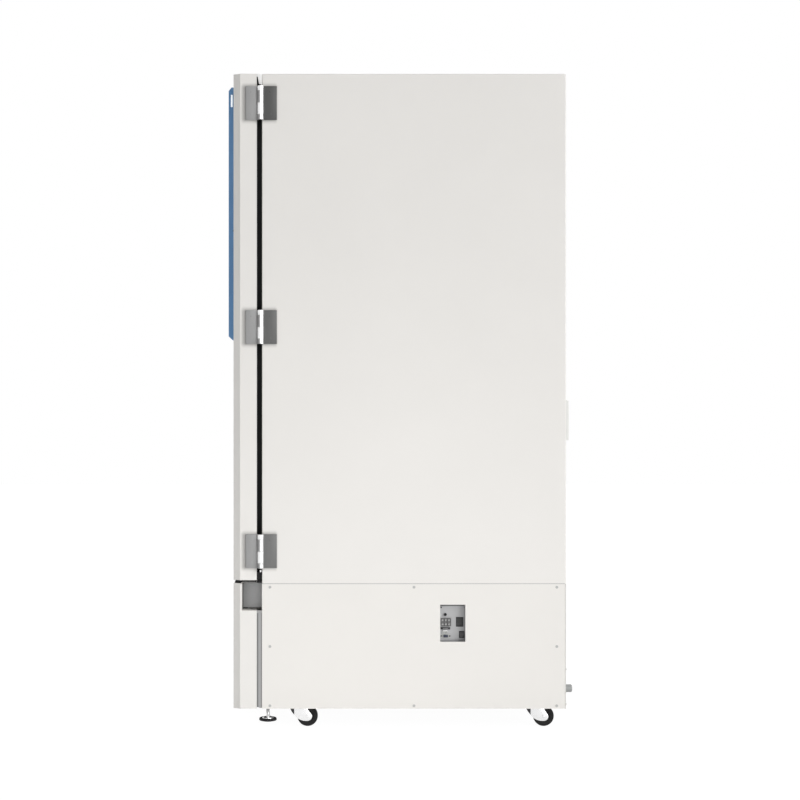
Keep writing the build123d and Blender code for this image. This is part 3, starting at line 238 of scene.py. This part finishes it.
# Hinges on the side face. All sizes of the pieces are in mm, counted from the cabinet's middle, its
# front face and the floor. A profile lists places along its axis with their distance from it
hinge = {"out": 460, "axisY": -4, "tall": 102, "middles": (539, 1215, 1891),
         "splits": (0, 15.4, 51, 87, 102), "gap": 0.2, "leafX": (450, 454.5), "edge": 0.8,
         "doorLeaf": (-49, -16), "cabinetLeaf": (5, 45),
         "knuckle": 9.48, "innerKnuckle": 9.15, "knuckleEdge": 0.4, "bore": 5.1, "knuckleSteps": 48,
         "wrap": (9.25, 9.48), "wrapStart": -13, "wrapTurn": -112, "wrapSteps": 16,
         "armReach": (-11, -12.2, 3.2), "armLap": 1, "armEdge": 0.2, "screwRise": 34, "screwSteps": 20,
         "screw": ((-0.5, 0), (-0.5, 3.6), (0.18, 3.6), (0.45, 2.52), (0.45, 0)),
         "tip": ((0.5, 0), (0.5, 2.5), (-11, 2.5), (-12, 1.5), (-12, 0)), "tipSteps": 24,
         "shadowDisc": ((0, 0), (0, 4.5), (-5.5, 4.5), (-5.5, 0)), "shadowDiscSteps": 28}
weld = {"spun": 0.000002, "solid": 0.000005}           # corners closer than this, in metres, become one


def spot(x, y, z):
    return Vector((middleX + x * mm, frontY + y * mm, z * mm))


# Shapes that many pieces use. Each one adds to an open bmesh
def roundEdges(shape, edges, edge):
    bmesh.ops.bevel(shape, geom=edges, offset=edge * mm, offset_type="OFFSET", segments=2, profile=0.5,
                    affect="EDGES", clamp_overlap=True, material=-1)


def addBlock(shape, low, high, edge):
    low, high = spot(*low), spot(*high)
    made = bmesh.ops.create_cube(shape, size=1)["verts"]
    bmesh.ops.scale(shape, vec=high - low, verts=made)
    bmesh.ops.translate(shape, vec=(low + high) / 2, verts=made)
    roundEdges(shape, list({line for vert in made for line in vert.link_edges}), edge)


def addSpun(shape, profile, centre, axis, steps, closed=False):
    centre, axis = spot(*centre), Vector(axis)
    away = Vector((0, 1, 0)) if axis.x else Vector((1, 0, 0))
    line = [shape.verts.new(centre + axis * along * mm + away * reach * mm) for along, reach in profile]
    edges = [shape.edges.new(pair) for pair in zip(line, line[1:] + line[:1] if closed else line[1:])]
    bmesh.ops.spin(shape, geom=line + edges, cent=centre, axis=axis, dvec=(0, 0, 0), angle=2 * pi,
                   steps=steps, use_merge=True)
    bmesh.ops.remove_doubles(shape, verts=shape.verts, dist=weld["spun"])


def addPlate(shape, outline, rise, edge):
    rise = Vector(rise) * mm
    face = shape.faces.new([shape.verts.new(spot(*place)) for place in outline])
    made = bmesh.ops.extrude_face_region(shape, geom=[face])["geom"]
    moved = [item for item in made if isinstance(item, bmesh.types.BMVert)]
    bmesh.ops.translate(shape, vec=rise, verts=moved)
    caps = [face] + [item for item in made if isinstance(item, bmesh.types.BMFace)]
    bmesh.ops.recalc_face_normals(shape, faces=shape.faces)
    roundEdges(shape, list({line for cap in caps for line in cap.edges}), edge)


def addHex(shape, centre, axis, radius, tall, edge):
    centre, axis = spot(*centre), Vector(axis)
    turn = axis.to_track_quat("Z", "Y").to_matrix().to_4x4()
    turn.translation = centre + axis * tall * mm / 2
    made = bmesh.ops.create_cone(shape, cap_ends=True, segments=6, radius1=radius * mm,
                                 radius2=radius * mm, depth=tall * mm, matrix=turn)["verts"]
    roundEdges(shape, list({line for vert in made for line in vert.link_edges}), edge)


def finishPiece(name, shape, paint, body, *replaced, sharp=35):
    bmesh.ops.recalc_face_normals(shape, faces=shape.faces)
    mesh = bpy.data.meshes.new(name)
    shape.to_mesh(mesh)
    shape.free()
    mesh.shade_smooth()
    mesh.set_sharp_from_angle(angle=radians(sharp))
    mesh.materials.append(finish[paint])
    piece = bpy.data.objects.new(name, mesh)
    bpy.context.scene.collection.objects.link(piece)
    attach(piece, body)
    if replaced:
        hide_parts(*replaced)


def openPaint(material):
    tree = material.node_tree
    shader = tree.nodes["Principled BSDF"]
    place = tree.nodes.new("ShaderNodeTexCoord")
    split = tree.nodes.new("ShaderNodeSeparateXYZ")
    tree.links.new(place.outputs["Object"], split.inputs[0])
    return tree, shader, split.outputs


def scalePaint(tree, shader, factor):                  # makes the base colour lighter or darker
    painted = shader.inputs["Base Color"].links[0].from_socket
    scaled = tree.nodes.new("ShaderNodeVectorMath")
    scaled.operation = "SCALE"
    tree.links.new(painted, scaled.inputs[0])
    tree.links.new(factor, scaled.inputs["Scale"])
    tree.links.new(scaled.outputs["Vector"], shader.inputs["Base Color"])


# Painted shadow round each hinge on the white paint. It ends past the leaves by reach and rise, and is
# full within them, less the spans and the sink
hingeShadow = {"reach": 12, "rise": 19, "sink": 5, "spans": (-6, -6.5), "inward": 3, "depth": 0.54}


def addHingeShadow(material):                                # painted soft shadow on the paint round each hinge
    tree, shader, place = openPaint(material)

    def reckon(kind, first, second=0):
        node = tree.nodes.new("ShaderNodeMath")
        node.operation = kind
        for socket, value in zip(node.inputs, (first, second)):
            if isinstance(value, (int, float)):
                socket.default_value = value
            else:
                tree.links.new(value, socket)
        return node.outputs[0]

    def beyond(axis, middle, half, reach):
        away = reckon("ABSOLUTE", reckon("SUBTRACT", place[axis], middle))
        return reckon("DIVIDE", reckon("MAXIMUM", reckon("SUBTRACT", away, half)), reach)

    front = spot(0, hinge["doorLeaf"][0] + hingeShadow["spans"][0], 0).y
    back = spot(0, hinge["cabinetLeaf"][1] + hingeShadow["spans"][1], 0).y
    across = beyond("Y", (front + back) / 2, (back - front) / 2, hingeShadow["reach"] * mm)
    half = (hinge["tall"] / 2 - hingeShadow["sink"]) * mm
    rise = hingeShadow["rise"] * mm
    along = None
    for middle in hinge["middles"]:
        nearer = beyond("Z", middle * mm, half, rise)
        along = nearer if along is None else reckon("MINIMUM", along, nearer)
    inward = beyond("X", sideX, hingeShadow["inward"] * mm, rise)
    flat = reckon("ADD", reckon("POWER", across, 2), reckon("POWER", along, 2))
    distance = reckon("SQRT", reckon("ADD", flat, reckon("POWER", inward, 2)))
    shade = tree.nodes.new("ShaderNodeMapRange")
    shade.interpolation_type = "SMOOTHSTEP"
    shade.inputs["To Min"].default_value = hingeShadow["depth"]
    tree.links.new(distance, shade.inputs["Value"])
    scalePaint(tree, shader, shade.outputs["Result"])


addHingeShadow(finish["whitePaint"])

# Painted shade along one axis: the cabinet hinge leaves darker towards the top, a painted reflection
# and shade. The reach is in metres, from the floor or the cabinet's front face
paintedShadeFades = {"cabinetLeafGrey": {"axis": "Z", "reach": (0.54, 1.9), "factor": (1.08, 0.5)},
         # the grey steel darker towards the front edge of the notch, painted shade from the notch's
         # wall
         "greySteel": {"axis": "Y", "reach": (-0.055, -0.015), "factor": (0.62, 1.12)}}


def addPaintedShadeFade(material, axis, reach, factor):
    tree, shader, place = openPaint(material)
    shade = tree.nodes.new("ShaderNodeMapRange")
    origin = frontY if axis == "Y" else 0
    shade.inputs["From Min"].default_value = origin + reach[0]
    shade.inputs["From Max"].default_value = origin + reach[1]
    shade.inputs["To Min"].default_value, shade.inputs["To Max"].default_value = factor
    tree.links.new(place[axis], shade.inputs["Value"])
    scalePaint(tree, shader, shade.outputs["Result"])


for name, values in paintedShadeFades.items():
    addPaintedShadeFade(finish[name], **values)


def addLeaf(shape, span, low, high):
    near, far = hinge["leafX"]
    addBlock(shape, (near, span[0], low), (far, span[1], high), hinge["edge"])
    for rise in (-hinge["screwRise"], hinge["screwRise"]):
        place = (far, (span[0] + span[1]) / 2, (low + high) / 2 + rise)
        addSpun(shape, hinge["screw"], place, (1, 0, 0), hinge["screwSteps"])


def addKnuckle(shape, low, high, radius):
    bore, edge = hinge["bore"], hinge["knuckleEdge"]
    profile = [(low, bore), (low, radius - edge), (low + edge, radius), (high - edge, radius),
               (high, radius - edge), (high, bore)]
    place = (hinge["out"], hinge["axisY"], 0)
    addSpun(shape, profile, place, (0, 0, 1), hinge["knuckleSteps"], closed=True)


def addWrap(shape, low, high):                         # the door leaf's curl round the barrel's front
    inner, outer = hinge["wrap"]
    start, turn = radians(hinge["wrapStart"]), radians(hinge["wrapTurn"])
    corners = [(inner, low), (outer, low), (outer, high), (inner, high)]
    x, y = hinge["out"], hinge["axisY"]
    verts = [shape.verts.new(spot(x + reach * cos(start), y + reach * sin(start), up))
             for reach, up in corners]
    face = shape.faces.new(verts)
    bmesh.ops.spin(shape, geom=verts + list(face.edges) + [face], cent=spot(x, y, 0), axis=(0, 0, 1),
                   dvec=(0, 0, 0), angle=turn, steps=hinge["wrapSteps"], use_merge=False)


def buildHinges():
    doorSide, cabinetSide, doorBarrel, cabinetBarrel, shadowDisc = (bmesh.new() for _ in range(5))
    leafLow, leafHigh = hinge["leafX"]
    curledArm, doorArm, cabinetArm = hinge["armReach"]
    for middle in hinge["middles"]:
        top = middle + hinge["tall"] / 2
        low = middle - hinge["tall"] / 2
        addLeaf(doorSide, hinge["doorLeaf"], low, top)
        addLeaf(cabinetSide, hinge["cabinetLeaf"], low, top)
        for index in range(len(hinge["splits"]) - 1):
            high = top - hinge["splits"][index] - hinge["gap"]
            foot = top - hinge["splits"][index + 1] + hinge["gap"]
            curled = index % 2                         # the door leaf curls round every other knuckle
            addBlock(doorSide, (leafLow, hinge["doorLeaf"][1] - hinge["armLap"], foot),
                     (leafHigh, curledArm if curled else doorArm, high), hinge["armEdge"])
            if curled:
                addWrap(doorSide, foot, high)
                addKnuckle(doorBarrel, foot, high, hinge["innerKnuckle"])
            else:
                addKnuckle(cabinetBarrel, foot, high, hinge["knuckle"])
                addBlock(cabinetSide, (leafLow, cabinetArm, foot),
                         (leafHigh, hinge["cabinetLeaf"][0] + hinge["armLap"], high), hinge["armEdge"])
    bottom = (hinge["out"], hinge["axisY"], hinge["middles"][0] - hinge["tall"] / 2)
    addSpun(cabinetBarrel, hinge["tip"], bottom, (0, 0, 1), hinge["tipSteps"])
    # a black disc under the lowest barrel, painted shade below the hinge
    addSpun(shadowDisc, hinge["shadowDisc"], bottom, (0, 0, 1), hinge["shadowDiscSteps"])
    finishPiece("hingeShadowDisc", shadowDisc, "blackRubber", "cabinet")
    finishPiece("doorHingeLeaves", doorSide, "doorLeafGrey", "door", "door_hinge_leaves")
    finishPiece("doorHingeBarrels", doorBarrel, "hingeChrome", "door", "door_hinge_leaves")
    finishPiece("cabinetHingeLeaves", cabinetSide, "cabinetLeafGrey", "cabinet", "cabinet_hinge_leaves")
    finishPiece("cabinetHingeBarrels", cabinetBarrel, "hingeChrome", "cabinet", "cabinet_hinge_leaves")


buildHinges()

gapCap = {"x": (428, 450), "edge": 0.8,
          "shadeBlock": ((-426, -15.9, 1953), (426, -3, 1976)), "shadeBlockEdge": 1,
          "outline": ((-15.4, 1980), (-13.6, 1974), (-12.6, 1970), (-11.6, 1962), (-9.6, 1952.5),
                      (-7, 1949), (-3, 1947.5), (-0.3, 1947), (-0.3, 1980))}


def buildGapCap():                                     # white cap over the top of the gap by the door, and a black block behind it as painted shade in the gap
    shape = bmesh.new()
    low, high = gapCap["x"]
    addPlate(shape, [(low, y, z) for y, z in gapCap["outline"]], (high - low, 0, 0), gapCap["edge"])
    finishPiece("gapTopCap", shape, "brightPlastic", "cabinet")
    # black block in the gap behind the cap, painted shade
    shadeBlock = bmesh.new()
    addBlock(shadeBlock, *gapCap["shadeBlock"], gapCap["shadeBlockEdge"])
    finishPiece("gapTopShadeBlock", shadeBlock, "blackRubber", "door")


buildGapCap()

# Black strip on the panel's top that fills the slot below the door as painted shade: rows of blocks
# from low to high corner, and a slanted front
panelShadeStrip = {"blocks": (((-436, -79, 441), (436, -62.5, 449.2)),
                         ((-399, -63.5, 441), (399, -19, 449.2)),
                         ((-436, -15, 441.2), (436, -1.5, 451))), "edge": 1.2,
              "wedge": ((-84.2, 441), (-79.6, 449.2), (-70, 449.2), (-70, 441)), "wedgeWide": 426,
              "wedgeEdge": 0.3}


def buildPanelShadeStrip():
    shape = bmesh.new()
    for low, high in panelShadeStrip["blocks"]:
        addBlock(shape, low, high, panelShadeStrip["edge"])
    wide = panelShadeStrip["wedgeWide"]
    wedge = [(-wide, y, z) for y, z in panelShadeStrip["wedge"]]
    addPlate(shape, wedge, (2 * wide, 0, 0), panelShadeStrip["wedgeEdge"])
    finishPiece("panelTopShadeStrip", shape, "blackRubber", "lower_panel")


buildPanelShadeStrip()

postShadeStrip = {"x": (448.3, 449.2), "spans": ((-15, -11.2), (-2.4, -0.4)), "low": 67.6, "high": 352,
            "edge": 0.3}


def buildPostShadeStrips():                                  # dark strips on the post's edges behind the panel, painted shade of the gaps beside the post
    shape = bmesh.new()
    for side in (1, -1):
        near, far = sorted(side * x for x in postShadeStrip["x"])
        for front, back in postShadeStrip["spans"]:
            addBlock(shape, (near, front, postShadeStrip["low"]), (far, back, postShadeStrip["high"]),
                     postShadeStrip["edge"])
    finishPiece("postShadeStrips", shape, "blockPlastic", "cabinet")


buildPostShadeStrips()
print("hinges, cap, strip and trims made")

# Casters: a bright fork with a black plate in front of it as painted shade inside the fork, and a tyre
# on a plastic hub. Outlines are counted from the swivel's middle and from the floor
caster = {"side": 388, "rows": {"front": 111.5, "rear": 831.7}, "trail": 26, "axleZ": 31.4,
          "cheekX": (13, 16), "cheekEdge": 0.5, "bridge": (-14.8, 18, 72.7, 77.7), "bridgeEdge": 0.6,
          "cheek": ((-14.8, 77.7), (-14.8, 35.2), (-9.5, 29.3), (-3.5, 24.6), (4.7, 20.2), (13.3, 17.8),
                    (20, 17.2), (26, 17.3), (31.3, 18.4), (35.8, 21.4), (38.8, 25.9), (40, 30.5),
                    (38.7, 34), (36.4, 37.5), (31.1, 44.5), (26.4, 53.9), (15, 77.7)),
          "head": ((66, 0), (66, 13), (69, 17), (72.7, 20), (77.7, 20), (77.7, 0)), "headSteps": 40,
          "stem": ((76.7, 0), (76.7, 6), (86, 6), (86, 0)), "rodSteps": 24, "axle": 4,
          "bolt": (6.2, 2, 0.4),                       # radius, height and edge of each bolt's head
          "shadePlate": ((-14.9, 36), (-14.9, 70), (-31, 70), (-26.8, 53.9), (-21.5, 44)), "shadePlateHalf": 15.5,
          "shadePlateEdge": 0.6}

# Profiles of each wheel's pieces, from its middle
wheel = {"tyre": ("tyreRubber", 64, ((-12, 18), (-12, 26.5), (-10.8, 29.6), (-8, 31.1), (-4, 31.4),
                                     (-1, 31.4), (-0.7, 31), (0.7, 31), (1, 31.4), (4, 31.4), (8, 31.1),
                                     (10.8, 29.6), (12, 26.5), (12, 18), (9, 14), (-9, 14))),
         "hub": ("greyPlastic", 40, ((-12.8, 4.1), (-12.8, 8.5), (-9.5, 10), (-9.5, 13.2), (-8.4, 14),
                                     (8.4, 14), (9.5, 13.2), (9.5, 10), (12.8, 8.5), (12.8, 4.1)))}
wheelSharp = 40


def buildFork(name, x, y, axleY):
    shape = bmesh.new()
    near, far = caster["cheekX"]
    for side in (-1, 1):
        cheek = [(x + side * near, y + along, up) for along, up in caster["cheek"]]
        addPlate(shape, cheek, (side * (far - near), 0, 0), caster["cheekEdge"])
        addHex(shape, (x + side * far, axleY, caster["axleZ"]), (side, 0, 0), *caster["bolt"])
    front, back, low, high = caster["bridge"]
    addBlock(shape, (x - far, y + front, low), (x + far, y + back, high), caster["bridgeEdge"])
    addSpun(shape, caster["head"], (x, y, 0), (0, 0, 1), caster["headSteps"])
    addSpun(shape, caster["stem"], (x, y, 0), (0, 0, 1), caster["rodSteps"])
    axle = [(-far, 0), (-far, caster["axle"]), (far, caster["axle"]), (far, 0)]
    addSpun(shape, axle, (x, axleY, caster["axleZ"]), (1, 0, 0), caster["rodSteps"])
    corner = name.replace("fork_", "")
    finishPiece("casterFork_" + corner, shape, "brightZinc", name, "caster_" + name)
    # black plate in front of the fork, painted shade inside the fork
    shadePlate = bmesh.new()
    half = caster["shadePlateHalf"]
    outline = [(x - half, y + along, up) for along, up in caster["shadePlate"]]
    addPlate(shadePlate, outline, (2 * half, 0, 0), caster["shadePlateEdge"])
    finishPiece("casterShadePlate_" + corner, shadePlate, "blackPlastic", name)


def buildWheel(name, x, axleY):
    corner = name.replace("wheel_", "")
    for part, (paint, steps, profile) in wheel.items():
        shape = bmesh.new()
        addSpun(shape, profile, (x, axleY, caster["axleZ"]), (1, 0, 0), steps, closed=True)
        title = "caster" + part.capitalize() + "_" + corner
        finishPiece(title, shape, paint, name, "caster_" + name, sharp=wheelSharp)


def buildCasters():
    for row, y in caster["rows"].items():
        for side, hand in ((1, "right"), (-1, "left")):
            corner = row + "_" + hand
            buildFork("fork_" + corner, side * caster["side"], y, y + caster["trail"])
            buildWheel("wheel_" + corner, side * caster["side"], y + caster["trail"])


buildCasters()
print("casters made")

# Levelling feet: a black pad, a bright dome and a threaded stem
foot = {"side": 410, "y": 17, "padSteps": 56, "domeSteps": 48, "stemSteps": 28, "stemLow": 33,
        "crest": 5.9, "root": 5.5, "pitch": 1.75,
        "pad": ((18.5, 0), (18.5, 14), (21.2, 25.4), (22.2, 26.6), (27, 26.6), (28.9, 24.8),
                (28.9, 16), (28, 0)),
        "dome": ((28, 0), (28, 17.2), (30.2, 16.6), (32.4, 12.5), (33.6, 8), (33.8, 0))}


def threadProfile(top):
    low, pitch = foot["stemLow"], foot["pitch"]
    profile = [(low, 0)]
    for turn in range(int((top - low) / pitch)):
        at = low + turn * pitch
        profile += [(at, foot["root"]), (at + pitch / 2, foot["crest"])]
    return profile + [(top, foot["root"]), (top, 0)]


def buildFeet():
    for side, hand in ((1, "right"), (-1, "left")):
        body, node = "foot_" + hand, "levelling_foot_" + hand
        place = (side * foot["side"], foot["y"], 0)
        thread = threadProfile(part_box(node)[1].z / mm)
        pieces = (("footPad_", "blackRubber", foot["pad"], foot["padSteps"]),
                  ("footDome_", "brightZinc", foot["dome"], foot["domeSteps"]),
                  ("footStem_", "hingeChrome", thread, foot["stemSteps"]))
        for title, paint, profile, steps in pieces:
            shape = bmesh.new()
            addSpun(shape, profile, place, (0, 0, 1), steps)
            finishPiece(title + hand, shape, paint, body, node)


buildFeet()
print("feet made")

rearScrew = {"x": 436, "rises": (180, 75), "steps": 24,
             "profile": ((-1.2, 0), (-1.2, 3), (2.2, 3), (3.3, 1.8), (3.3, 0))}


def buildRearScrews():                                 # two in each upright edge of the rear cover
    shape = bmesh.new()
    back = (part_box("outer_cabinet")[1].y - frontY) / mm
    for side in (1, -1):
        for rise in rearScrew["rises"]:
            place = (side * rearScrew["x"], back, rise)
            addSpun(shape, rearScrew["profile"], place, (0, 1, 0), rearScrew["steps"])
    finishPiece("rearScrews", shape, "screwZinc", "cabinet")


buildRearScrews()

# Terminals on the plate behind the window. Three of them keep the node's own solids, told by height
terminal = {"plateX": 412.5,
            "parts": {"roundJack": ("blackPlastic", 335, 400),
                      "terminalBlock": ("blockPlastic", 304, 335),
                      "slotSocket": ("socketPlastic", 284, 295)},
            "screwX": 417.6, "screwY": (548, 557.8, 567.6), "screwZ": (314, 325.5), "screwSteps": 24,
            "screw": ((0, 0), (0, 3.9), (1.4, 3.9), (1.8, 3.4), (1.8, 0)),
            "dividerY": (552.9, 562.7), "dividerWide": 0.8, "dividerZ": (308, 332),
            "dividerReach": 11.8, "dividerEdge": 0.15}

# Small blocks on the plate, each from its low to its high corner, with its edge and what it stands for
terminalBlocks = {"darkRow": ("blackPlastic", (412.5, 542, 298), (420, 571, 304), 0.5,
                              "terminal_sockets"),
                  "darkRowMiddle": ("blockPlastic", (412.5, 548.5, 298.6), (420.3, 564, 303.4), 0.3,
                                    "terminal_sockets"),
                  "socketLatch": ("brightPlastic", (412.5, 549.5, 290.4), (416.5, 562.5, 295.2), 0.6,
                                  "terminal_sockets"),
                  "dataPlate": ("socketPlastic", (412.5, 541, 270.5), (414.6, 572, 283.5), 0.5,
                                "terminal_sockets"),
                  "dataShell": ("connectorBlue", (412.5, 550.5, 273.5), (418.1, 564.5, 281.5), 0.8,
                                "terminal_sockets"),
                  # a dark strip along the window's top edge, painted shadow cast by the cover's edge
                  "windowShadowStrip": ("blockPlastic", (412.3, 541, 368.5), (413.3, 618, 376), 0.2)}
darkScrews = {"x": 412.4, "places": ((543.6, 364.5), (615, 364.5), (543.8, 277.6), (569.6, 277.6)),
              "profile": ((0, 0), (0, 2.2), (2.5, 2.2), (3, 1.7), (3, 0)), "steps": 20}


def cutSolids(node, low, high):
    shape = bmesh.new()
    shape.from_mesh(nodes[node].data)
    bmesh.ops.remove_doubles(shape, verts=shape.verts, dist=weld["solid"])
    gone = [face for face in shape.faces if not low <= face.calc_center_median().z / mm <= high]
    bmesh.ops.delete(shape, geom=gone, context="FACES")
    return shape


def buildTerminals():
    for name, (paint, low, high) in terminal["parts"].items():
        shape = cutSolids("terminal_sockets", low, high)
        finishPiece(name, shape, paint, "cabinet", "terminal_sockets")
    screws, dividers, dark = (bmesh.new() for _ in range(3))
    for y in terminal["screwY"]:
        for z in terminal["screwZ"]:
            place = (terminal["screwX"], y, z)
            addSpun(screws, terminal["screw"], place, (1, 0, 0), terminal["screwSteps"])
    plate, half = terminal["plateX"], terminal["dividerWide"] / 2
    foot, top = terminal["dividerZ"]
    for y in terminal["dividerY"]:
        addBlock(dividers, (plate, y - half, foot), (plate + terminal["dividerReach"], y + half, top),
                 terminal["dividerEdge"])
    for name, (paint, low, high, edge, *replaced) in terminalBlocks.items():
        shape = bmesh.new()
        addBlock(shape, low, high, edge)
        finishPiece(name, shape, paint, "cabinet", *replaced)
    for y, z in darkScrews["places"]:
        addSpun(dark, darkScrews["profile"], (darkScrews["x"], y, z), (1, 0, 0), darkScrews["steps"])
    finishPiece("terminalDarkScrews", dark, "blackPlastic", "cabinet")
    finishPiece("terminalScrews", screws, "screwZinc", "cabinet")
    finishPiece("terminalDividers", dividers, "blackPlastic", "cabinet")


buildTerminals()

# Temperature on the display, as seven segments to a figure
digits = {"front": -108.2, "proud": 0.25, "sunk": 0.5, "middleZ": 1640, "tall": 44, "wide": 24,
          "stroke": 4.2, "step": 36, "edge": 0.2, "figures": ("g", "abcdefg", "abcdef")}

# Each segment's place, in halves of a figure's width and height, and whether it stands upright
segments = {"a": (0, 1, 0), "b": (1, 0.5, 1), "c": (1, -0.5, 1), "d": (0, -1, 0), "e": (-1, -0.5, 1),
            "f": (-1, 0.5, 1), "g": (0, 0, 0)}


def buildDigits():
    shape = bmesh.new()
    for index, figure in enumerate(digits["figures"]):
        centre = (index - 1) * digits["step"]
        for name in figure:
            aside, up, upright = segments[name]
            x = centre + aside * digits["wide"] / 2
            z = digits["middleZ"] + up * digits["tall"] / 2
            length = (digits["tall"] / 2 if upright else digits["wide"]) - digits["stroke"]
            halfX, halfZ = length / 2, digits["stroke"] / 2
            if upright:
                halfX, halfZ = halfZ, halfX
            addBlock(shape, (x - halfX, digits["front"] - digits["proud"], z - halfZ),
                     (x + halfX, digits["front"] + digits["sunk"], z + halfZ), digits["edge"])
    finishPiece("displayFigures", shape, "digitGlow", "door")


buildDigits()

fasciaScrew = {"place": (320, -92.5, 1519), "steps": 20,
               "profile": ((-1, 0), (-1, 1.7), (0.25, 1.7), (0.5, 1.19), (0.5, 0))}


def buildFasciaScrew():
    shape = bmesh.new()
    addSpun(shape, fasciaScrew["profile"], fasciaScrew["place"], (1, 0, 0), fasciaScrew["steps"])
    finishPiece("fasciaScrew", shape, "blackPlastic", "door")


buildFasciaScrew()

lensRim = {"front": 1.6, "rear": 1.2, "end": 1.0, "over": 0.3, "back": 0.6, "proud": 0.35, "edge": 0.15}


def buildLensRim():                                    # blue rim over the edges of the lens
    low, high = [(corner - spot(0, 0, 0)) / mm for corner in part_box("status_lens")]
    inside, outside = high.x - lensRim["back"], high.x + lensRim["proud"]
    over, end = lensRim["over"], lensRim["end"]
    spans = (((low.y - over, low.z), (low.y + lensRim["front"], high.z)),
             ((high.y - lensRim["rear"], low.z), (high.y + over, high.z)),
             ((low.y, low.z - over), (high.y, low.z + end)),
             ((low.y, high.z - end), (high.y, high.z + over)))
    shape = bmesh.new()
    for (front, foot), (back, top) in spans:
        addBlock(shape, (inside, front, foot), (outside, back, top), lensRim["edge"])
    finishPiece("lensRim", shape, "bluePlastic", "door")


buildLensRim()
print("terminals and display made")

# Floor, lamps and world. Angles are in degrees and lengths in metres
studio = {"ambient": 0.19, "keyAzimuth": 41, "keyHeight": 14, "key": 0.675, "soft": 50, "sunAway": 4,
          "front": 0.42, "frontFrom": (-0.8, -1, 0.3), "left": 0.35, "leftFrom": (-1, 0.1, 0.35),
          "low": 7.2, "lowPlace": (1.6, 0.5, 0.12), "lowSize": (1.6, 0.2),
          "floorSize": 14, "floorRough": 0.9, "floorTone": 0.9, "floorSeen": 0.12, "floorGlow": 0.96}
white = (1, 1, 1, 1)


def addSun(name, direction, strength, soft):
    data = bpy.data.lights.new(name, "SUN")
    data.energy = strength * pi
    data.angle = radians(soft)
    lamp = bpy.data.objects.new(name, data)
    lamp.rotation_euler = Vector(direction).to_track_quat("Z", "Y").to_euler()
    lamp.location = Vector(direction) * studio["sunAway"]
    bpy.context.scene.collection.objects.link(lamp)


def seenDirectly(tree):                                # 1 where the camera, metal or glass looks at it
    path = tree.nodes.new("ShaderNodeLightPath")
    shown = path.outputs["Is Camera Ray"]
    for ray in ("Is Glossy Ray", "Is Transmission Ray"):
        either = tree.nodes.new("ShaderNodeMath")
        either.operation = "MAXIMUM"
        tree.links.new(shown, either.inputs[0])
        tree.links.new(path.outputs[ray], either.inputs[1])
        shown = either.outputs["Value"]
    return shown


def lightScene():
    turn, rise = radians(studio["keyAzimuth"]), radians(studio["keyHeight"])
    keyFrom = (cos(turn) * cos(rise), sin(turn) * cos(rise), sin(rise))
    addSun("keyLamp", keyFrom, studio["key"], studio["soft"])
    addSun("frontLamp", studio["frontFrom"], studio["front"], studio["soft"])
    addSun("leftLamp", studio["leftFrom"], studio["left"], studio["soft"])
    data = bpy.data.lights.new("lowLamp", "AREA")      # a low strip that brightens the lower half
    data.shape = "RECTANGLE"
    data.size, data.size_y = studio["lowSize"]
    data.energy = studio["low"]
    lamp = bpy.data.objects.new("lowLamp", data)
    outward, behind, up = studio["lowPlace"]
    lamp.location = (sideX + outward, frontY + behind, up)
    lamp.rotation_euler = (radians(90), 0, radians(90))
    lamp.visible_camera = False
    lamp.visible_glossy = False
    bpy.context.scene.collection.objects.link(lamp)
    world = bpy.data.worlds.new("studio")
    bpy.context.scene.world = world
    world.use_nodes = True
    tree = world.node_tree
    tree.nodes.clear()
    shown = seenDirectly(tree)
    light, backdrop = (tree.nodes.new("ShaderNodeBackground") for _ in range(2))
    for node, strength in ((light, studio["ambient"]), (backdrop, 1)):
        node.inputs["Color"].default_value = white
        node.inputs["Strength"].default_value = strength
    mix = tree.nodes.new("ShaderNodeMixShader")
    out = tree.nodes.new("ShaderNodeOutputWorld")
    tree.links.new(shown, mix.inputs["Fac"])
    tree.links.new(light.outputs["Background"], mix.inputs[1])
    tree.links.new(backdrop.outputs["Background"], mix.inputs[2])
    tree.links.new(mix.outputs["Shader"], out.inputs["Surface"])


lightScene()


def layFloor():
    shape = bmesh.new()
    bmesh.ops.create_grid(shape, x_segments=1, y_segments=1, size=studio["floorSize"])
    mesh = bpy.data.meshes.new("studioFloor")
    shape.to_mesh(mesh)
    shape.free()
    floor = bpy.data.objects.new("studioFloor", mesh)
    bpy.context.scene.collection.objects.link(floor)
    material = bpy.data.materials.new("floorWhite")
    material.use_nodes = True
    tree = material.node_tree
    shader = tree.nodes["Principled BSDF"]
    shader.inputs["Roughness"].default_value = studio["floorRough"]
    shader.inputs["Specular IOR Level"].default_value = 0
    shader.inputs["Emission Color"].default_value = white
    shown = seenDirectly(tree)
    seen = tree.nodes.new("ShaderNodeMapRange")        # the camera sees white with a faint shadow
    seen.inputs["To Min"].default_value = studio["floorTone"]
    seen.inputs["To Max"].default_value = studio["floorSeen"]
    lift = tree.nodes.new("ShaderNodeMath")
    lift.operation = "MULTIPLY"
    lift.inputs[1].default_value = studio["floorGlow"]
    tree.links.new(shown, seen.inputs["Value"])
    tree.links.new(shown, lift.inputs[0])
    tree.links.new(seen.outputs["Result"], shader.inputs["Base Color"])
    tree.links.new(lift.outputs["Value"], shader.inputs["Emission Strength"])
    mesh.materials.append(material)


layFloor()
bpy.context.scene.view_settings.view_transform = "Standard"
